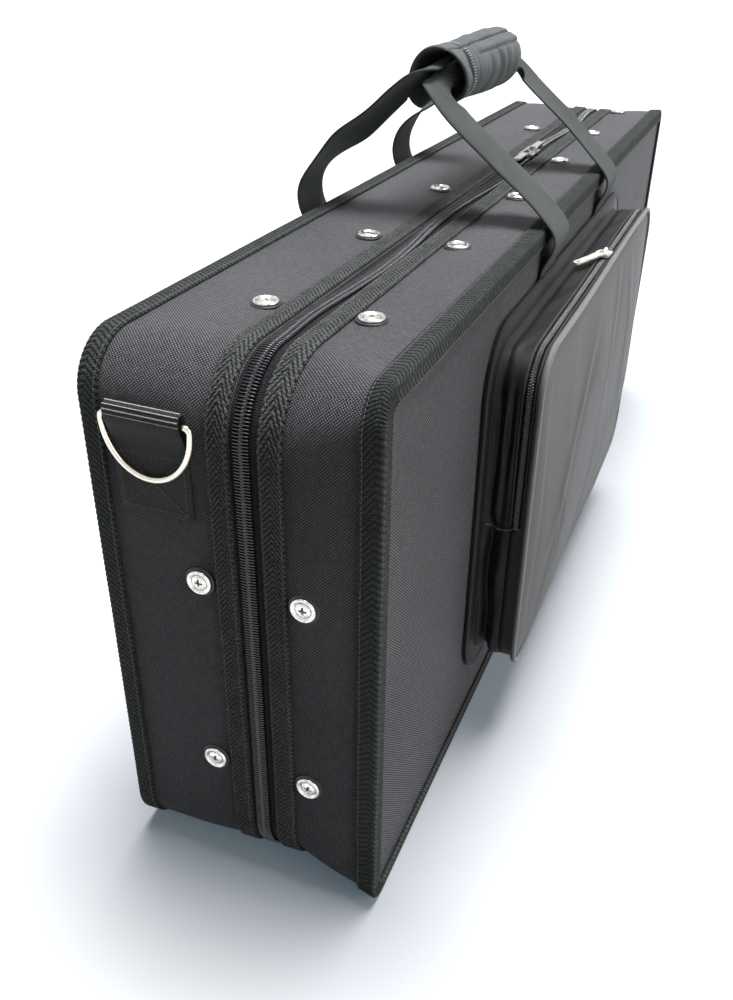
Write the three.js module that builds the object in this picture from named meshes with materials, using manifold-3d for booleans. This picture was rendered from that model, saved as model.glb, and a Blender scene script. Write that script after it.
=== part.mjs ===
// Soft pedalboard case: a stiff fabric base and lid joined by a zip on three sides and a fabric hinge below.
// Millimetres. X runs along the case, -Y is the lid and pocket side, Z is up. The case stands on its long
// edge, and the origin lies on that lower edge, midway between the rear face and the lid face.
import * as THREE from "three";
import Module from "manifold-3d";
import { mergeVertices } from "three/addons/utils/BufferGeometryUtils.js";

const wasm = await Module();
wasm.setup();

// Whole case
const caseLength = 780;
const caseHeight = 312;
const caseDepth = 150;
const cornerRadius = 30;
const baseCornerRadius = 28;
const softCornerRadius = 42;
const lidCornerRadius = 15;
const cornerSteps = 6;
const seatGap = 0.3;
const cutOverrun = 3;

// Where the base meets the lid
const zipY = -8;
const coilWidth = 8.5;
const coilGap = 0.3;
const zipTapeThickness = 1.2;
const coilHeight = 2.7;
const baseTapeMargin = 2.05;
const lidTapeMargin = 3.8;
const zipBottomReach = 42;

// Fabric trims that lie on the shells
const trimThickness = 1.2;
const guardSetback = 0.3;
const baseGuardWidth = 11;
const lidGuardWidth = 12;
const bindingOnWall = 11;
const bindingOnPanel = 11;
const bindingRounding = 0.8;

// Shell walls, foam lining and the strips behind the screws
const shellWall = 5;
const shellEdgeRound = 4;
const liningThickness = 4;
const stiffenerThickness = 2.5;
const stiffenerWidth = 18;

// Screws with cup washers
const washerRadius = 8.2;
const washerHeight = 1.3;
const capRadius = 6.6;
const capHeight = 3.1;
const capDomeShare = 0.62;
const shankRadius = 1.9;
const shankClearance = 0.3;
const screwSides = 10;
const topScrewCount = 6;
const topScrewNearSetback = 78.75;
const topScrewFarSetback = 48.75;
const upperEndScrewDrop = 115;
const lowerEndScrewRise = 80;
const screwTrimClearance = 0.6;

// Webbing
const webbingWidth = 38;
const webbingThickness = 1.6;
const strapShift = -21.5;
const strapSpacing = 173;
const strapFoot = 60;
const strapHingeDrop = 12;

// Grip wrap and the two handle loops
const gripY = 12;
const gripRise = 76.5;
const gripRadius = 18.5;
const gripWall = 4.5;
const gripEndX = 70;
const gripSeamTilt = 25;
const gripSeamGap = 0.6;
const gripArcSteps = 10;
const foldedWidth = 12;
const foldedThickness = 4.8;
const loopTurnMargin = 1;
const loopTurnSteps = 5;
const legSteps = 10;
const twistStartShare = 0.2;
const twistEndShare = 0.7;
const legLipRise = 2.2;
const frontLeg = { rise: 43, lipOut: 0.9, lipAngle: 46, lipShare: 0.4, headShare: 0.2, twist: 0 };
const rearLeg = { rise: 44, lipOut: 15, lipAngle: 103, lipShare: 0.15, headShare: 0.5, twist: 10 };

// D rings and the webbing that holds them
const ringSetback = 37;
const ringTopDrop = 31;
const ringWire = 1.75;
const ringSideGap = 1.5;
const ringDrop = 30.25;
const ringCornerRadius = 2.6;
const ringSides = 8;
const ringPlay = 0.35;
const ringPatchWidth = 40;
const ringPatchLength = 50;

// Main zip sliders
const sliderMeetX = 97;
const sliderLength = 13;
const sliderPlate = 1.6;
const sliderSpacing = 1;
const sliderNoseShare = 0.62;
const sliderLipGap = 0.3;
const bridgeWidth = 2;
const bridgeWall = 1.3;
const bridgeClear = 0.4;

// Pull tabs: an open frame that hangs from the slider's bridge, and a narrower bar
const crossBar = 1.2;
const crossBarLift = 1;
const eyeLength = 6.4;
const eyeWidth = 5;
const eyeFrameWall = 1.6;
const tabLength = 34;
const tabWidth = 5.6;
const tabThickness = 1.2;
const tabHoleRadius = 1.4;
const tabRoundSteps = 6;

// Pocket on the lid
const pocketShift = -43;
const pocketLength = 372;
const pocketFootRise = 55;
const pocketTopDrop = 42;
const pocketCorner = 24;
const pocketDepth = 31;
const pocketCrown = 9;
const pocketSkin = 1.6;
const pocketFlange = 13;
const pocketZipFromRear = 24;
const pocketZipReach = 108;
const pocketCoilWidth = 6;
const pocketCoilHeight = 2.4;
const pocketTape = 1;
const pipingRadius = 1.8;
const pipingSides = 8;
const pocketSliderShift = 19;
const pocketSliderLift = 0.5;
const pocketTabLength = 40;
const pocketTabYaw = 20;

// Derived places
const halfDepth = caseDepth / 2;
const halfLength = caseLength / 2;
const shellInset = trimThickness + seatGap;
const shellInner = shellInset + shellWall;
const stiffenerInset = shellInner + seatGap;
const liningInset = stiffenerInset + stiffenerThickness + seatGap;
const coilHalf = coilWidth / 2;
const baseEdgeY = zipY + coilHalf + baseTapeMargin;
const lidEdgeY = zipY - coilHalf - lidTapeMargin;
const baseGuardY = baseEdgeY + guardSetback;
const lidGuardY = lidEdgeY - guardSetback;
const baseScrewY = baseGuardY + baseGuardWidth + screwTrimClearance + washerRadius;
const lidScrewY = lidGuardY - lidGuardWidth - screwTrimClearance - washerRadius;
const baseFaceY = halfDepth - shellInset;
const lidFaceY = -baseFaceY;
const softCornerY = lidGuardY - lidGuardWidth;
const loopTurnRadius = webbingWidth / 2 + loopTurnMargin;
const hingeTapeEndX = halfLength - cornerRadius - zipBottomReach;
const topScrewPitch = (caseLength - topScrewNearSetback - topScrewFarSetback) / (topScrewCount - 1);
const endScrewHeights = [caseHeight - upperEndScrewDrop, lowerEndScrewRise];
const strapHingeZ = caseHeight - strapHingeDrop;
const gripZ = caseHeight + gripRise;
const ringY = halfDepth - ringSetback;
const ringTopZ = caseHeight - ringTopDrop;
const ringPatchFootZ = ringTopZ - ringPatchLength;
const ringOuterWidth = ringPatchWidth + 2 * (ringSideGap + 2 * ringWire);
const pocketNearX = pocketShift - pocketLength / 2;
const pocketFarX = pocketShift + pocketLength / 2;
const pocketLowZ = pocketFootRise;
const pocketHighZ = caseHeight - pocketTopDrop;
const pocketFoldZ = pocketHighZ - pocketZipReach;
const pocketSliderX = pocketShift + pocketSliderShift;

const materials = {
  nylon: new THREE.MeshStandardMaterial({ color: 0x26262a, roughness: 0.85, metalness: 0 }),
  binding: new THREE.MeshStandardMaterial({ color: 0x1c1f1e, roughness: 0.9, metalness: 0 }),
  foam: new THREE.MeshStandardMaterial({ color: 0x3a3a3e, roughness: 0.95, metalness: 0 }),
  board: new THREE.MeshStandardMaterial({ color: 0x4a4a4c, roughness: 0.7, metalness: 0 }),
  webbing: new THREE.MeshStandardMaterial({ color: 0x2b2d2d, roughness: 0.9, metalness: 0 }),
  padding: new THREE.MeshStandardMaterial({ color: 0x333535, roughness: 0.9, metalness: 0 }),
  coil: new THREE.MeshStandardMaterial({ color: 0x121313, roughness: 0.5, metalness: 0 }),
  chrome: new THREE.MeshStandardMaterial({ color: 0xd8d8d4, roughness: 0.2, metalness: 1 }),
  satin: new THREE.MeshStandardMaterial({ color: 0x3b3a3b, roughness: 0.6, metalness: 0 }),
  piping: new THREE.MeshStandardMaterial({ color: 0x6f6e6c, roughness: 0.5, metalness: 0 }),
};

const pedalboardCase = new THREE.Group();

function addPart(name, geometry, material) {
  const mesh = new THREE.Mesh(geometry, material);
  mesh.name = name;
  pedalboardCase.add(mesh);
  return mesh;
}

// Closed bodies from corner points and triangles, turned so that the faces point out
function closedBody(points, triangles) {
  let volume = 0;
  for (const [a, b, c] of triangles) {
    volume += points[a].dot(new THREE.Vector3().crossVectors(points[b], points[c]));
  }
  const indices = [];
  for (const [a, b, c] of triangles) {
    indices.push(a, volume > 0 ? b : c, volume > 0 ? c : b);
  }
  const geometry = new THREE.BufferGeometry();
  geometry.setAttribute("position", new THREE.Float32BufferAttribute(points.flatMap((p) => p.toArray()), 3));
  geometry.setIndex(indices);
  return geometry;
}

// A body through sections of equal point counts; each section is a list of points, closed by itself
function loftBody(sections, outline, loops = false) {
  const count = sections[0].length;
  const points = sections.flat();
  const triangles = [];
  const last = loops ? sections.length : sections.length - 1;
  for (let s = 0; s < last; s += 1) {
    const here = s * count;
    const next = ((s + 1) % sections.length) * count;
    for (let k = 0; k < count; k += 1) {
      const after = (k + 1) % count;
      triangles.push([here + k, here + after, next + after], [here + k, next + after, next + k]);
    }
  }
  if (!loops) {
    const end = (sections.length - 1) * count;
    const backwards = THREE.ShapeUtils.isClockWise(outline);
    for (const face of THREE.ShapeUtils.triangulateShape(outline, [])) {
      const [a, b, c] = backwards ? face.reverse() : face;
      triangles.push([a, c, b], [end + a, end + b, end + c]);
    }
  }
  return closedBody(points, triangles);
}

// Radius of the case corners at a depth: tight at the big faces, soft beside the zip
function caseRadiusAt(y) {
  const faceY = y > softCornerY ? halfDepth : -halfDepth;
  const faceRadius = y > softCornerY ? baseCornerRadius : lidCornerRadius;
  return THREE.MathUtils.lerp(softCornerRadius, faceRadius, (y - softCornerY) / (faceY - softCornerY));
}

// Rounded rectangle in the XZ plane, as places with their outward directions. The places are for the plain
// radius; cornerX and cornerZ lead from there to the corner, where radiusAt gives a tighter one.
function outlineStations(box, radius, radiusAt = () => radius) {
  const corners = [
    [box.nearX + radius, box.lowZ + radius, -1, -1],
    [box.nearX + radius, box.highZ - radius, -1, 1],
    [box.farX - radius, box.highZ - radius, 1, 1],
    [box.farX - radius, box.lowZ + radius, 1, -1],
  ];
  const quarterTurn = Math.PI / 2;
  const stations = [];
  corners.forEach(([x, z, signX, signZ], corner) => {
    const turnsLeft = corners.length - 1 - corner;
    for (let k = 0; k <= cornerSteps; k += 1) {
      const angle = quarterTurn * (turnsLeft - k / cornerSteps);
      const outX = Math.cos(angle);
      const outZ = Math.sin(angle);
      stations.push({
        x: x + radius * outX,
        z: z + radius * outZ,
        outX,
        outZ,
        cornerX: signX - outX,
        cornerZ: signZ - outZ,
        tighterAt: (y) => radius - radiusAt(y),
      });
    }
  });
  return stations;
}

// The part of an outline that runs over the top, from one low place to the other
function openStations(stations, start, end) {
  const straight = { cornerX: 0, cornerZ: 0 };
  const first = { ...stations[0], ...straight, ...start };
  const last = { ...stations[stations.length - 1], ...straight, ...end };
  return [first, ...stations, last];
}

function stationSection(station, profile) {
  return profile.map(([out, y]) => {
    const tighter = station.tighterAt(y);
    const x = station.x + station.outX * out + station.cornerX * tighter;
    const z = station.z + station.outZ * out + station.cornerZ * tighter;
    return new THREE.Vector3(x, y, z);
  });
}

// A trim with one profile all along an outline; profile points are [distance out, y]
function trimBody(stations, profile, closed) {
  const outline = profile.map(([out, y]) => new THREE.Vector2(out, y));
  return loftBody(stations.map((station) => stationSection(station, profile)), outline, closed);
}

// The whole outline at one [distance out, y]
function outlineAt(stations, level) {
  return stations.map((station) => stationSection(station, [level])[0]);
}

// A solid slab through outlines that lie at different depths; levels are [distance out, y]
function slabBody(stations, levels) {
  const sections = levels.map((level) => outlineAt(stations, level));
  return loftBody(sections, sections[0].map((p) => new THREE.Vector2(p.x, p.z)));
}

function toSolid(geometry) {
  const bare = geometry.clone();
  bare.deleteAttribute("normal");
  bare.deleteAttribute("uv");
  const merged = mergeVertices(bare);
  const vertProperties = new Float32Array(merged.attributes.position.array);
  const triVerts = new Uint32Array(merged.index.array);
  return new wasm.Manifold(new wasm.Mesh({ numProp: 3, vertProperties, triVerts }));
}

function fromSolid(solid) {
  const mesh = solid.getMesh();
  const geometry = new THREE.BufferGeometry();
  geometry.setAttribute("position", new THREE.BufferAttribute(mesh.vertProperties, 3));
  geometry.setIndex(new THREE.BufferAttribute(mesh.triVerts, 1));
  return geometry;
}

function boxBetween(low, high) {
  const size = high.clone().sub(low);
  const geometry = new THREE.BoxGeometry(size.x, size.y, size.z);
  const centre = low.clone().add(high).multiplyScalar(1 / 2);
  geometry.translate(centre.x, centre.y, centre.z);
  return geometry;
}

const caseBox = { nearX: -halfLength, farX: halfLength, lowZ: 0, highZ: caseHeight };
const caseStations = outlineStations(caseBox, cornerRadius, caseRadiusAt);

// Screws sit on the top and on both ends, in one row on the base and one on the lid
function screwPlaces(y) {
  const places = [];
  for (let k = 0; k < topScrewCount; k += 1) {
    const x = -halfLength + topScrewNearSetback + k * topScrewPitch;
    const at = new THREE.Vector3(x, y, caseHeight);
    places.push({ label: `top_screw_${k + 1}`, at, out: new THREE.Vector3(0, 0, 1) });
  }
  for (const [side, sign] of [["near", -1], ["far", 1]]) {
    endScrewHeights.forEach((z, k) => {
      const at = new THREE.Vector3(sign * halfLength, y, z);
      places.push({ label: `${side}_screw_${k + 1}`, at, out: new THREE.Vector3(sign, 0, 0) });
    });
  }
  return places;
}

const upAxis = new THREE.Vector3(0, 1, 0);

// Turns a lathe about its own axis on to a screw's line, with its zero on the case outline
function placeOnWall(geometry, place) {
  geometry.applyQuaternion(new THREE.Quaternion().setFromUnitVectors(upAxis, place.out));
  geometry.translate(place.at.x, place.at.y, place.at.z);
  return geometry;
}

function screwHole(place) {
  const radius = shankRadius + shankClearance;
  const depth = liningInset + cutOverrun;
  const geometry = new THREE.CylinderGeometry(radius, radius, depth, screwSides);
  geometry.translate(0, cutOverrun - depth / 2, 0);
  return placeOnWall(geometry, place);
}

function screw(place) {
  const seat = -shellInset + seatGap;
  const shankEnd = -stiffenerInset - stiffenerThickness;
  const washerTop = seat + washerHeight;
  const capTop = seat + capHeight;
  const domeShoulder = washerTop + (capTop - washerTop) * capDomeShare;
  const profile = [
    new THREE.Vector2(0, shankEnd),
    new THREE.Vector2(shankRadius, shankEnd),
    new THREE.Vector2(shankRadius, seat),
    new THREE.Vector2(washerRadius, seat),
    new THREE.Vector2(capRadius, washerTop),
    new THREE.Vector2(capRadius * capDomeShare, domeShoulder + (capTop - domeShoulder) * capDomeShare),
    new THREE.Vector2(0, capTop),
  ];
  return placeOnWall(new THREE.LatheGeometry(profile, screwSides), place);
}

// The level between an edge and a face at which the corners are softest, if it lies there
function softLevels(inset, edgeY, faceY) {
  const share = (softCornerY - edgeY) / (faceY - edgeY);
  return share > 0 && share < 1 ? [[-inset, softCornerY]] : [];
}

// Base and lid shells: fabric over board, open towards the zip
function shell(edgeY, faceY, screws) {
  const inward = Math.sign(faceY - edgeY);
  const roundMiddle = shellEdgeRound * (1 - Math.SQRT1_2);
  const outer = slabBody(caseStations, [
    [-shellInset, edgeY],
    ...softLevels(shellInset, edgeY, faceY),
    [-shellInset, faceY - inward * shellEdgeRound],
    [-shellInset - roundMiddle, faceY - inward * roundMiddle],
    [-shellInset - shellEdgeRound, faceY],
  ]);
  const hollow = slabBody(caseStations, [
    [-shellInner, edgeY - inward * cutOverrun],
    ...softLevels(shellInner, edgeY, faceY),
    [-shellInner, faceY - inward * (shellWall + shellEdgeRound / 2)],
    [-shellInner - shellEdgeRound / 2, faceY - inward * shellWall],
  ]);
  let solid = toSolid(outer).subtract(toSolid(hollow));
  for (const place of screws) {
    solid = solid.subtract(toSolid(screwHole(place)));
  }
  return fromSolid(solid);
}

// Foam tray inside a shell, resting on its floor and on the strips behind the screws
function lining(edgeY, faceY) {
  const inward = Math.sign(faceY - edgeY);
  const floorY = faceY - inward * (shellWall + seatGap);
  const outer = slabBody(caseStations, [
    [-liningInset, edgeY],
    ...softLevels(liningInset, edgeY, floorY),
    [-liningInset, floorY],
  ]);
  const inset = liningInset + liningThickness;
  const hollow = slabBody(caseStations, [
    [-inset, edgeY - inward * cutOverrun],
    ...softLevels(inset, edgeY, floorY),
    [-inset, floorY - inward * liningThickness],
  ]);
  return fromSolid(toSolid(outer).subtract(toSolid(hollow)));
}

// Stiff strip behind the screws: up the near end, along the top and down the far end
function stiffener(screwY, screws) {
  const lowZ = softCornerRadius;
  const arch = caseStations.slice(cornerSteps + 1, 3 * (cornerSteps + 1));
  const stations = openStations(arch, { z: lowZ }, { z: lowZ });
  const half = stiffenerWidth / 2;
  const inner = -stiffenerInset - stiffenerThickness;
  const strip = trimBody(stations, [
    [-stiffenerInset, screwY - half],
    [-stiffenerInset, screwY + half],
    [inner, screwY + half],
    [inner, screwY - half],
  ], false);
  let solid = toSolid(strip);
  for (const place of screws) {
    solid = solid.subtract(toSolid(screwHole(place)));
  }
  return fromSolid(solid);
}

// Folded herringbone tape over the edge between the walls and the big face
function edgeBinding(side) {
  const faceY = side * halfDepth;
  const wallY = side * (halfDepth - bindingOnWall);
  const innerY = side * (halfDepth - trimThickness);
  return trimBody(caseStations, [
    [-trimThickness, wallY],
    [0, wallY],
    [0, faceY - side * bindingRounding],
    [-bindingRounding, faceY],
    [-bindingOnPanel, faceY],
    [-bindingOnPanel, innerY],
    [-trimThickness, innerY],
  ], true);
}

function guardTape(fromY, toY) {
  return trimBody(caseStations, [
    [-trimThickness, fromY],
    [0, fromY],
    [0, toY],
    [-trimThickness, toY],
  ], true);
}

// Half of the zip: tape beside the shell edge and its row of coil, over the top and round all four corners
function zipHalf(side, edgeY) {
  const endX = hingeTapeEndX + seatGap;
  const stations = openStations(caseStations, { x: -endX }, { x: endX });
  const meetY = zipY + (side * coilGap) / 2;
  const coilEndY = zipY + side * coilHalf;
  const tapeEndY = edgeY - side * seatGap;
  const tapeUnder = -shellInset - seatGap - zipTapeThickness;
  const tapeTop = tapeUnder + zipTapeThickness;
  return trimBody(stations, [
    [tapeUnder, meetY],
    [tapeUnder + coilHeight, meetY],
    [tapeUnder + coilHeight, coilEndY],
    [tapeTop, coilEndY],
    [tapeTop, tapeEndY],
    [tapeUnder, tapeEndY],
  ], false);
}

// Half of the fabric strip that joins base and lid below, parted at the fold
function hingeTape(side, edgeY) {
  const meetY = zipY + (side * coilGap) / 2;
  const endY = edgeY - side * seatGap;
  const low = new THREE.Vector3(-hingeTapeEndX, Math.min(meetY, endY), shellInset);
  const high = new THREE.Vector3(hingeTapeEndX, Math.max(meetY, endY), shellInset + zipTapeThickness);
  return boxBetween(low, high);
}

const baseScrews = screwPlaces(baseScrewY);
const lidScrews = screwPlaces(lidScrewY);

addPart("base_shell", shell(baseEdgeY, baseFaceY, baseScrews), materials.nylon);
addPart("lid_shell", shell(lidEdgeY, lidFaceY, lidScrews), materials.nylon);
addPart("base_lining", lining(baseEdgeY, baseFaceY), materials.foam);
addPart("lid_lining", lining(lidEdgeY, lidFaceY), materials.foam);
addPart("base_stiffener", stiffener(baseScrewY, baseScrews), materials.board);
addPart("lid_stiffener", stiffener(lidScrewY, lidScrews), materials.board);
addPart("base_edge_binding", edgeBinding(1), materials.binding);
addPart("lid_edge_binding", edgeBinding(-1), materials.binding);
addPart("base_guard_tape", guardTape(baseGuardY, baseGuardY + baseGuardWidth), materials.binding);
addPart("lid_guard_tape", guardTape(lidGuardY, lidGuardY - lidGuardWidth), materials.binding);
addPart("base_zip_half", zipHalf(1, baseEdgeY), materials.coil);
addPart("lid_zip_half", zipHalf(-1, lidEdgeY), materials.coil);
addPart("base_hinge_tape", hingeTape(1, baseEdgeY), materials.binding);
addPart("lid_hinge_tape", hingeTape(-1, lidEdgeY), materials.binding);
for (const [carrier, places] of [["base", baseScrews], ["lid", lidScrews]]) {
  for (const place of places) {
    addPart(`${carrier}_${place.label}`, screw(place), materials.chrome);
  }
}

// Webbing strips: each station has a centre, a direction across, a thickness direction and its sizes
function ribbonBody(stations) {
  const sections = stations.map(({ centre, across, normal, width, thickness }) => {
    const side = across.clone().multiplyScalar(width / 2);
    const up = normal.clone().multiplyScalar(thickness / 2);
    return [
      centre.clone().sub(side).sub(up),
      centre.clone().add(side).sub(up),
      centre.clone().add(side).add(up),
      centre.clone().sub(side).add(up),
    ];
  });
  const outline = [[0, 0], [1, 0], [1, 1], [0, 1]].map(([a, b]) => new THREE.Vector2(a, b));
  return loftBody(sections, outline);
}

// Stations of one leg that follows points in a plane across X; going is 1 up the leg and -1 down it
function legStations(x, points, going, widths) {
  const xAxis = new THREE.Vector3(1, 0, 0);
  return points.map((point, k) => {
    const before = points[Math.max(k - 1, 0)];
    const after = points[Math.min(k + 1, points.length - 1)];
    // The first section stays level, so that it meets what it is sewn to squarely
    const run = k > 0 ? after.x - before.x : 0;
    const tangent = new THREE.Vector3(0, run, after.y - before.y).normalize();
    return {
      centre: new THREE.Vector3(x, point.x, point.y),
      across: xAxis.clone().multiplyScalar(going),
      normal: new THREE.Vector3().crossVectors(xAxis, tangent),
      width: widths[k],
      thickness: webbingThickness,
    };
  });
}

// Stitched straps run up the big faces and step out over the binding
const strapSeatY = baseFaceY + seatGap + webbingThickness / 2;
const strapOverBindingY = halfDepth + seatGap + webbingThickness / 2;
const strapStepZ = caseHeight - bindingOnPanel - 2 * webbingThickness;
const strapNearX = strapShift - strapSpacing / 2;
const strapFarX = strapShift + strapSpacing / 2;

function stitchedStrap(x, side) {
  const points = [
    new THREE.Vector2(side * strapSeatY, strapFoot),
    new THREE.Vector2(side * strapSeatY, strapStepZ - 2 * webbingThickness),
    new THREE.Vector2(side * strapOverBindingY, strapStepZ),
    new THREE.Vector2(side * strapOverBindingY, strapHingeZ - seatGap / 2),
  ];
  return ribbonBody(legStations(x, points, 1, points.map(() => webbingWidth)));
}

addPart("front_strap_near", stitchedStrap(strapNearX, -1), materials.webbing);
addPart("front_strap_far", stitchedStrap(strapFarX, -1), materials.webbing);
addPart("rear_strap_near", stitchedStrap(strapNearX, 1), materials.webbing);
addPart("rear_strap_far", stitchedStrap(strapFarX, 1), materials.webbing);

// Handle loops: a leg up, a turn into the grip, the run along the grip and the same way down again
const seamAngle = THREE.MathUtils.degToRad(180 + gripSeamTilt);
const runOffset = (gripRadius - gripWall) / 2 + seatGap;

function runCentre(side) {
  const out = side * runOffset;
  return new THREE.Vector2(gripY - Math.cos(seamAngle) * out, gripZ - Math.sin(seamAngle) * out);
}

// Leg points from the fold at the case edge, past the lip of the case, to the turn into the grip
function legCurve(side) {
  const leg = side > 0 ? rearLeg : frontLeg;
  const run = runCentre(side);
  const rise = THREE.MathUtils.degToRad(leg.rise);
  const inward = new THREE.Vector2(-side * Math.cos(rise), Math.sin(rise));
  const turnStart = run.clone().addScaledVector(inward, -loopTurnRadius);
  const foot = new THREE.Vector2(side * strapOverBindingY, strapHingeZ + seatGap / 2);
  const lipZ = caseHeight + legLipRise;
  const lip = new THREE.Vector2(foot.x + side * leg.lipOut, lipZ);
  const span = turnStart.distanceTo(lip);
  const lipAngle = THREE.MathUtils.degToRad(leg.lipAngle);
  const lipDirection = new THREE.Vector2(-side * Math.cos(lipAngle), Math.sin(lipAngle));
  const curve = new THREE.CubicBezierCurve(
    lip,
    lip.clone().addScaledVector(lipDirection, span * leg.lipShare),
    turnStart.clone().addScaledVector(inward, -span * leg.headShare),
    turnStart,
  );
  const twist = THREE.MathUtils.degToRad(leg.twist);
  return { points: [foot, ...curve.getPoints(legSteps)], inward, twist };
}

// A station turned about the way it runs, where the webbing twists
function twisted(station, turn) {
  const { across, normal } = station;
  return {
    ...station,
    across: across.clone().multiplyScalar(Math.cos(turn)).addScaledVector(normal, Math.sin(turn)),
    normal: normal.clone().multiplyScalar(Math.cos(turn)).addScaledVector(across, -Math.sin(turn)),
  };
}

function turnStations(x, going, rise, run, twist) {
  const stations = [];
  for (let k = 0; k <= loopTurnSteps; k += 1) {
    const share = going > 0 ? k / loopTurnSteps : 1 - k / loopTurnSteps;
    const angle = (share * Math.PI) / 2;
    const centre = new THREE.Vector3(
      x + going * loopTurnRadius * (1 - Math.cos(angle)),
      run.x - rise.y * loopTurnRadius * (1 - Math.sin(angle)),
      run.y - rise.z * loopTurnRadius * (1 - Math.sin(angle)),
    );
    const across = new THREE.Vector3(going * Math.cos(angle), 0, 0).addScaledVector(rise, -Math.sin(angle));
    const station = {
      centre,
      across,
      normal: new THREE.Vector3(1, 0, 0).cross(rise),
      width: THREE.MathUtils.lerp(webbingWidth, foldedWidth, Math.sin(angle)),
      thickness: THREE.MathUtils.lerp(webbingThickness, foldedThickness, Math.sin(angle)),
    };
    stations.push(twisted(station, twist * (1 - share)));
  }
  return stations;
}

function handleLoop(side) {
  const { points, inward, twist } = legCurve(side);
  const widths = points.map(() => webbingWidth);
  const rise = new THREE.Vector3(0, inward.x, inward.y);
  const run = runCentre(side);
  const twistLeg = (stations) => stations.map((station, k) => {
    const share = THREE.MathUtils.smoothstep((k - 1) / legSteps, twistStartShare, twistEndShare);
    return twisted(station, twist * share);
  });
  const up = twistLeg(legStations(strapNearX, points, 1, widths)).slice(0, -1);
  const down = twistLeg(legStations(strapFarX, points, -1, widths)).slice(0, -1).reverse();
  return ribbonBody([
    ...up,
    ...turnStations(strapNearX, 1, rise, run, twist),
    ...turnStations(strapFarX, -1, rise, run, twist),
    ...down,
  ]);
}

addPart("front_handle_loop", handleLoop(-1), materials.webbing);
addPart("rear_handle_loop", handleLoop(1), materials.webbing);

// Padded wrap round both runs of webbing, in two halves that part along the closure
const gripNearX = strapShift - gripEndX;
const gripFarX = strapShift + gripEndX;
// Places along the grip, with the outer and inner radius there, all as shares
const gripShares = [
  [0, 1, 1.16],
  [0.05, 1, 1.14],
  [0.13, 0.97, 1.06],
  [0.2, 0.95, 1],
  [0.28, 0.95, 1],
  [0.36, 1, 1],
  [0.65, 1.06, 1.02],
  [0.92, 1.08, 1.06],
  [1, 1.03, 1.18],
];

function gripHalf(side) {
  const middle = side < 0 ? seamAngle : seamAngle - Math.PI;
  const sections = gripShares.map(([lengthShare, outerShare, innerShare]) => {
    const x = THREE.MathUtils.lerp(gripNearX, gripFarX, lengthShare);
    const outer = gripRadius * outerShare;
    const inner = (gripRadius - gripWall) * innerShare;
    const section = [];
    for (const [radius, direction] of [[outer, 1], [inner, -1]]) {
      const reach = Math.PI / 2 - gripSeamGap / 2 / radius;
      for (let k = 0; k <= gripArcSteps; k += 1) {
        const angle = middle + direction * reach * ((2 * k) / gripArcSteps - 1);
        const y = gripY + radius * Math.cos(angle);
        section.push(new THREE.Vector3(x, y, gripZ + radius * Math.sin(angle)));
      }
    }
    return section;
  });
  return loftBody(sections, sections[0].map((p) => new THREE.Vector2(p.y, p.z)));
}

addPart("grip_front_half", gripHalf(-1), materials.padding);
addPart("grip_rear_half", gripHalf(1), materials.padding);

// D ring holders: a stitched patch whose top wraps the straight bar of the ring
const ringBarOut = -shellInset + seatGap + webbingThickness + ringPlay + ringWire;

function ringHolder(side) {
  const patchBack = -shellInset + seatGap;
  const patchFront = patchBack + webbingThickness;
  const hole = ringWire + ringPlay;
  const wrap = hole + webbingThickness;
  const shape = new THREE.Shape();
  shape.moveTo(ringPatchFootZ, patchBack);
  shape.lineTo(ringTopZ, patchBack);
  shape.absarc(ringTopZ, ringBarOut, wrap, -Math.PI / 2, Math.PI / 2 + Math.PI / 3, false);
  shape.lineTo(ringTopZ - wrap, patchFront);
  shape.lineTo(ringPatchFootZ, patchFront);
  shape.closePath();
  const bore = new THREE.Path();
  bore.absarc(ringTopZ, ringBarOut, hole, 0, 2 * Math.PI, true);
  shape.holes.push(bore);
  const extrusion = { depth: ringPatchWidth, bevelEnabled: false, curveSegments: ringSides };
  const geometry = new THREE.ExtrudeGeometry(shape, extrusion);
  // The outline was drawn as height against distance out, and is drawn out along the case depth
  const heightAxis = new THREE.Vector3(0, 0, 1);
  const outAxis = new THREE.Vector3(side, 0, 0);
  const depthAxis = new THREE.Vector3().crossVectors(heightAxis, outAxis);
  geometry.applyMatrix4(new THREE.Matrix4().makeBasis(heightAxis, outAxis, depthAxis));
  geometry.translate(side * halfLength, ringY - (side * ringPatchWidth) / 2, 0);
  return geometry;
}

// A round wire along a closed flat path; the plane of the path is square to X
function wireLoop(points, x, radius, sides) {
  const xAxis = new THREE.Vector3(1, 0, 0);
  const sections = points.map((point, k) => {
    const before = points[(k + points.length - 1) % points.length];
    const after = points[(k + 1) % points.length];
    const tangent = new THREE.Vector3(0, after.x - before.x, after.y - before.y).normalize();
    const sideways = new THREE.Vector3().crossVectors(xAxis, tangent);
    const section = [];
    for (let s = 0; s < sides; s += 1) {
      const angle = (2 * Math.PI * s) / sides;
      const at = new THREE.Vector3(x, point.x, point.y);
      at.addScaledVector(xAxis, radius * Math.cos(angle));
      at.addScaledVector(sideways, radius * Math.sin(angle));
      section.push(at);
    }
    return section;
  });
  return loftBody(sections, [], true);
}

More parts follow.
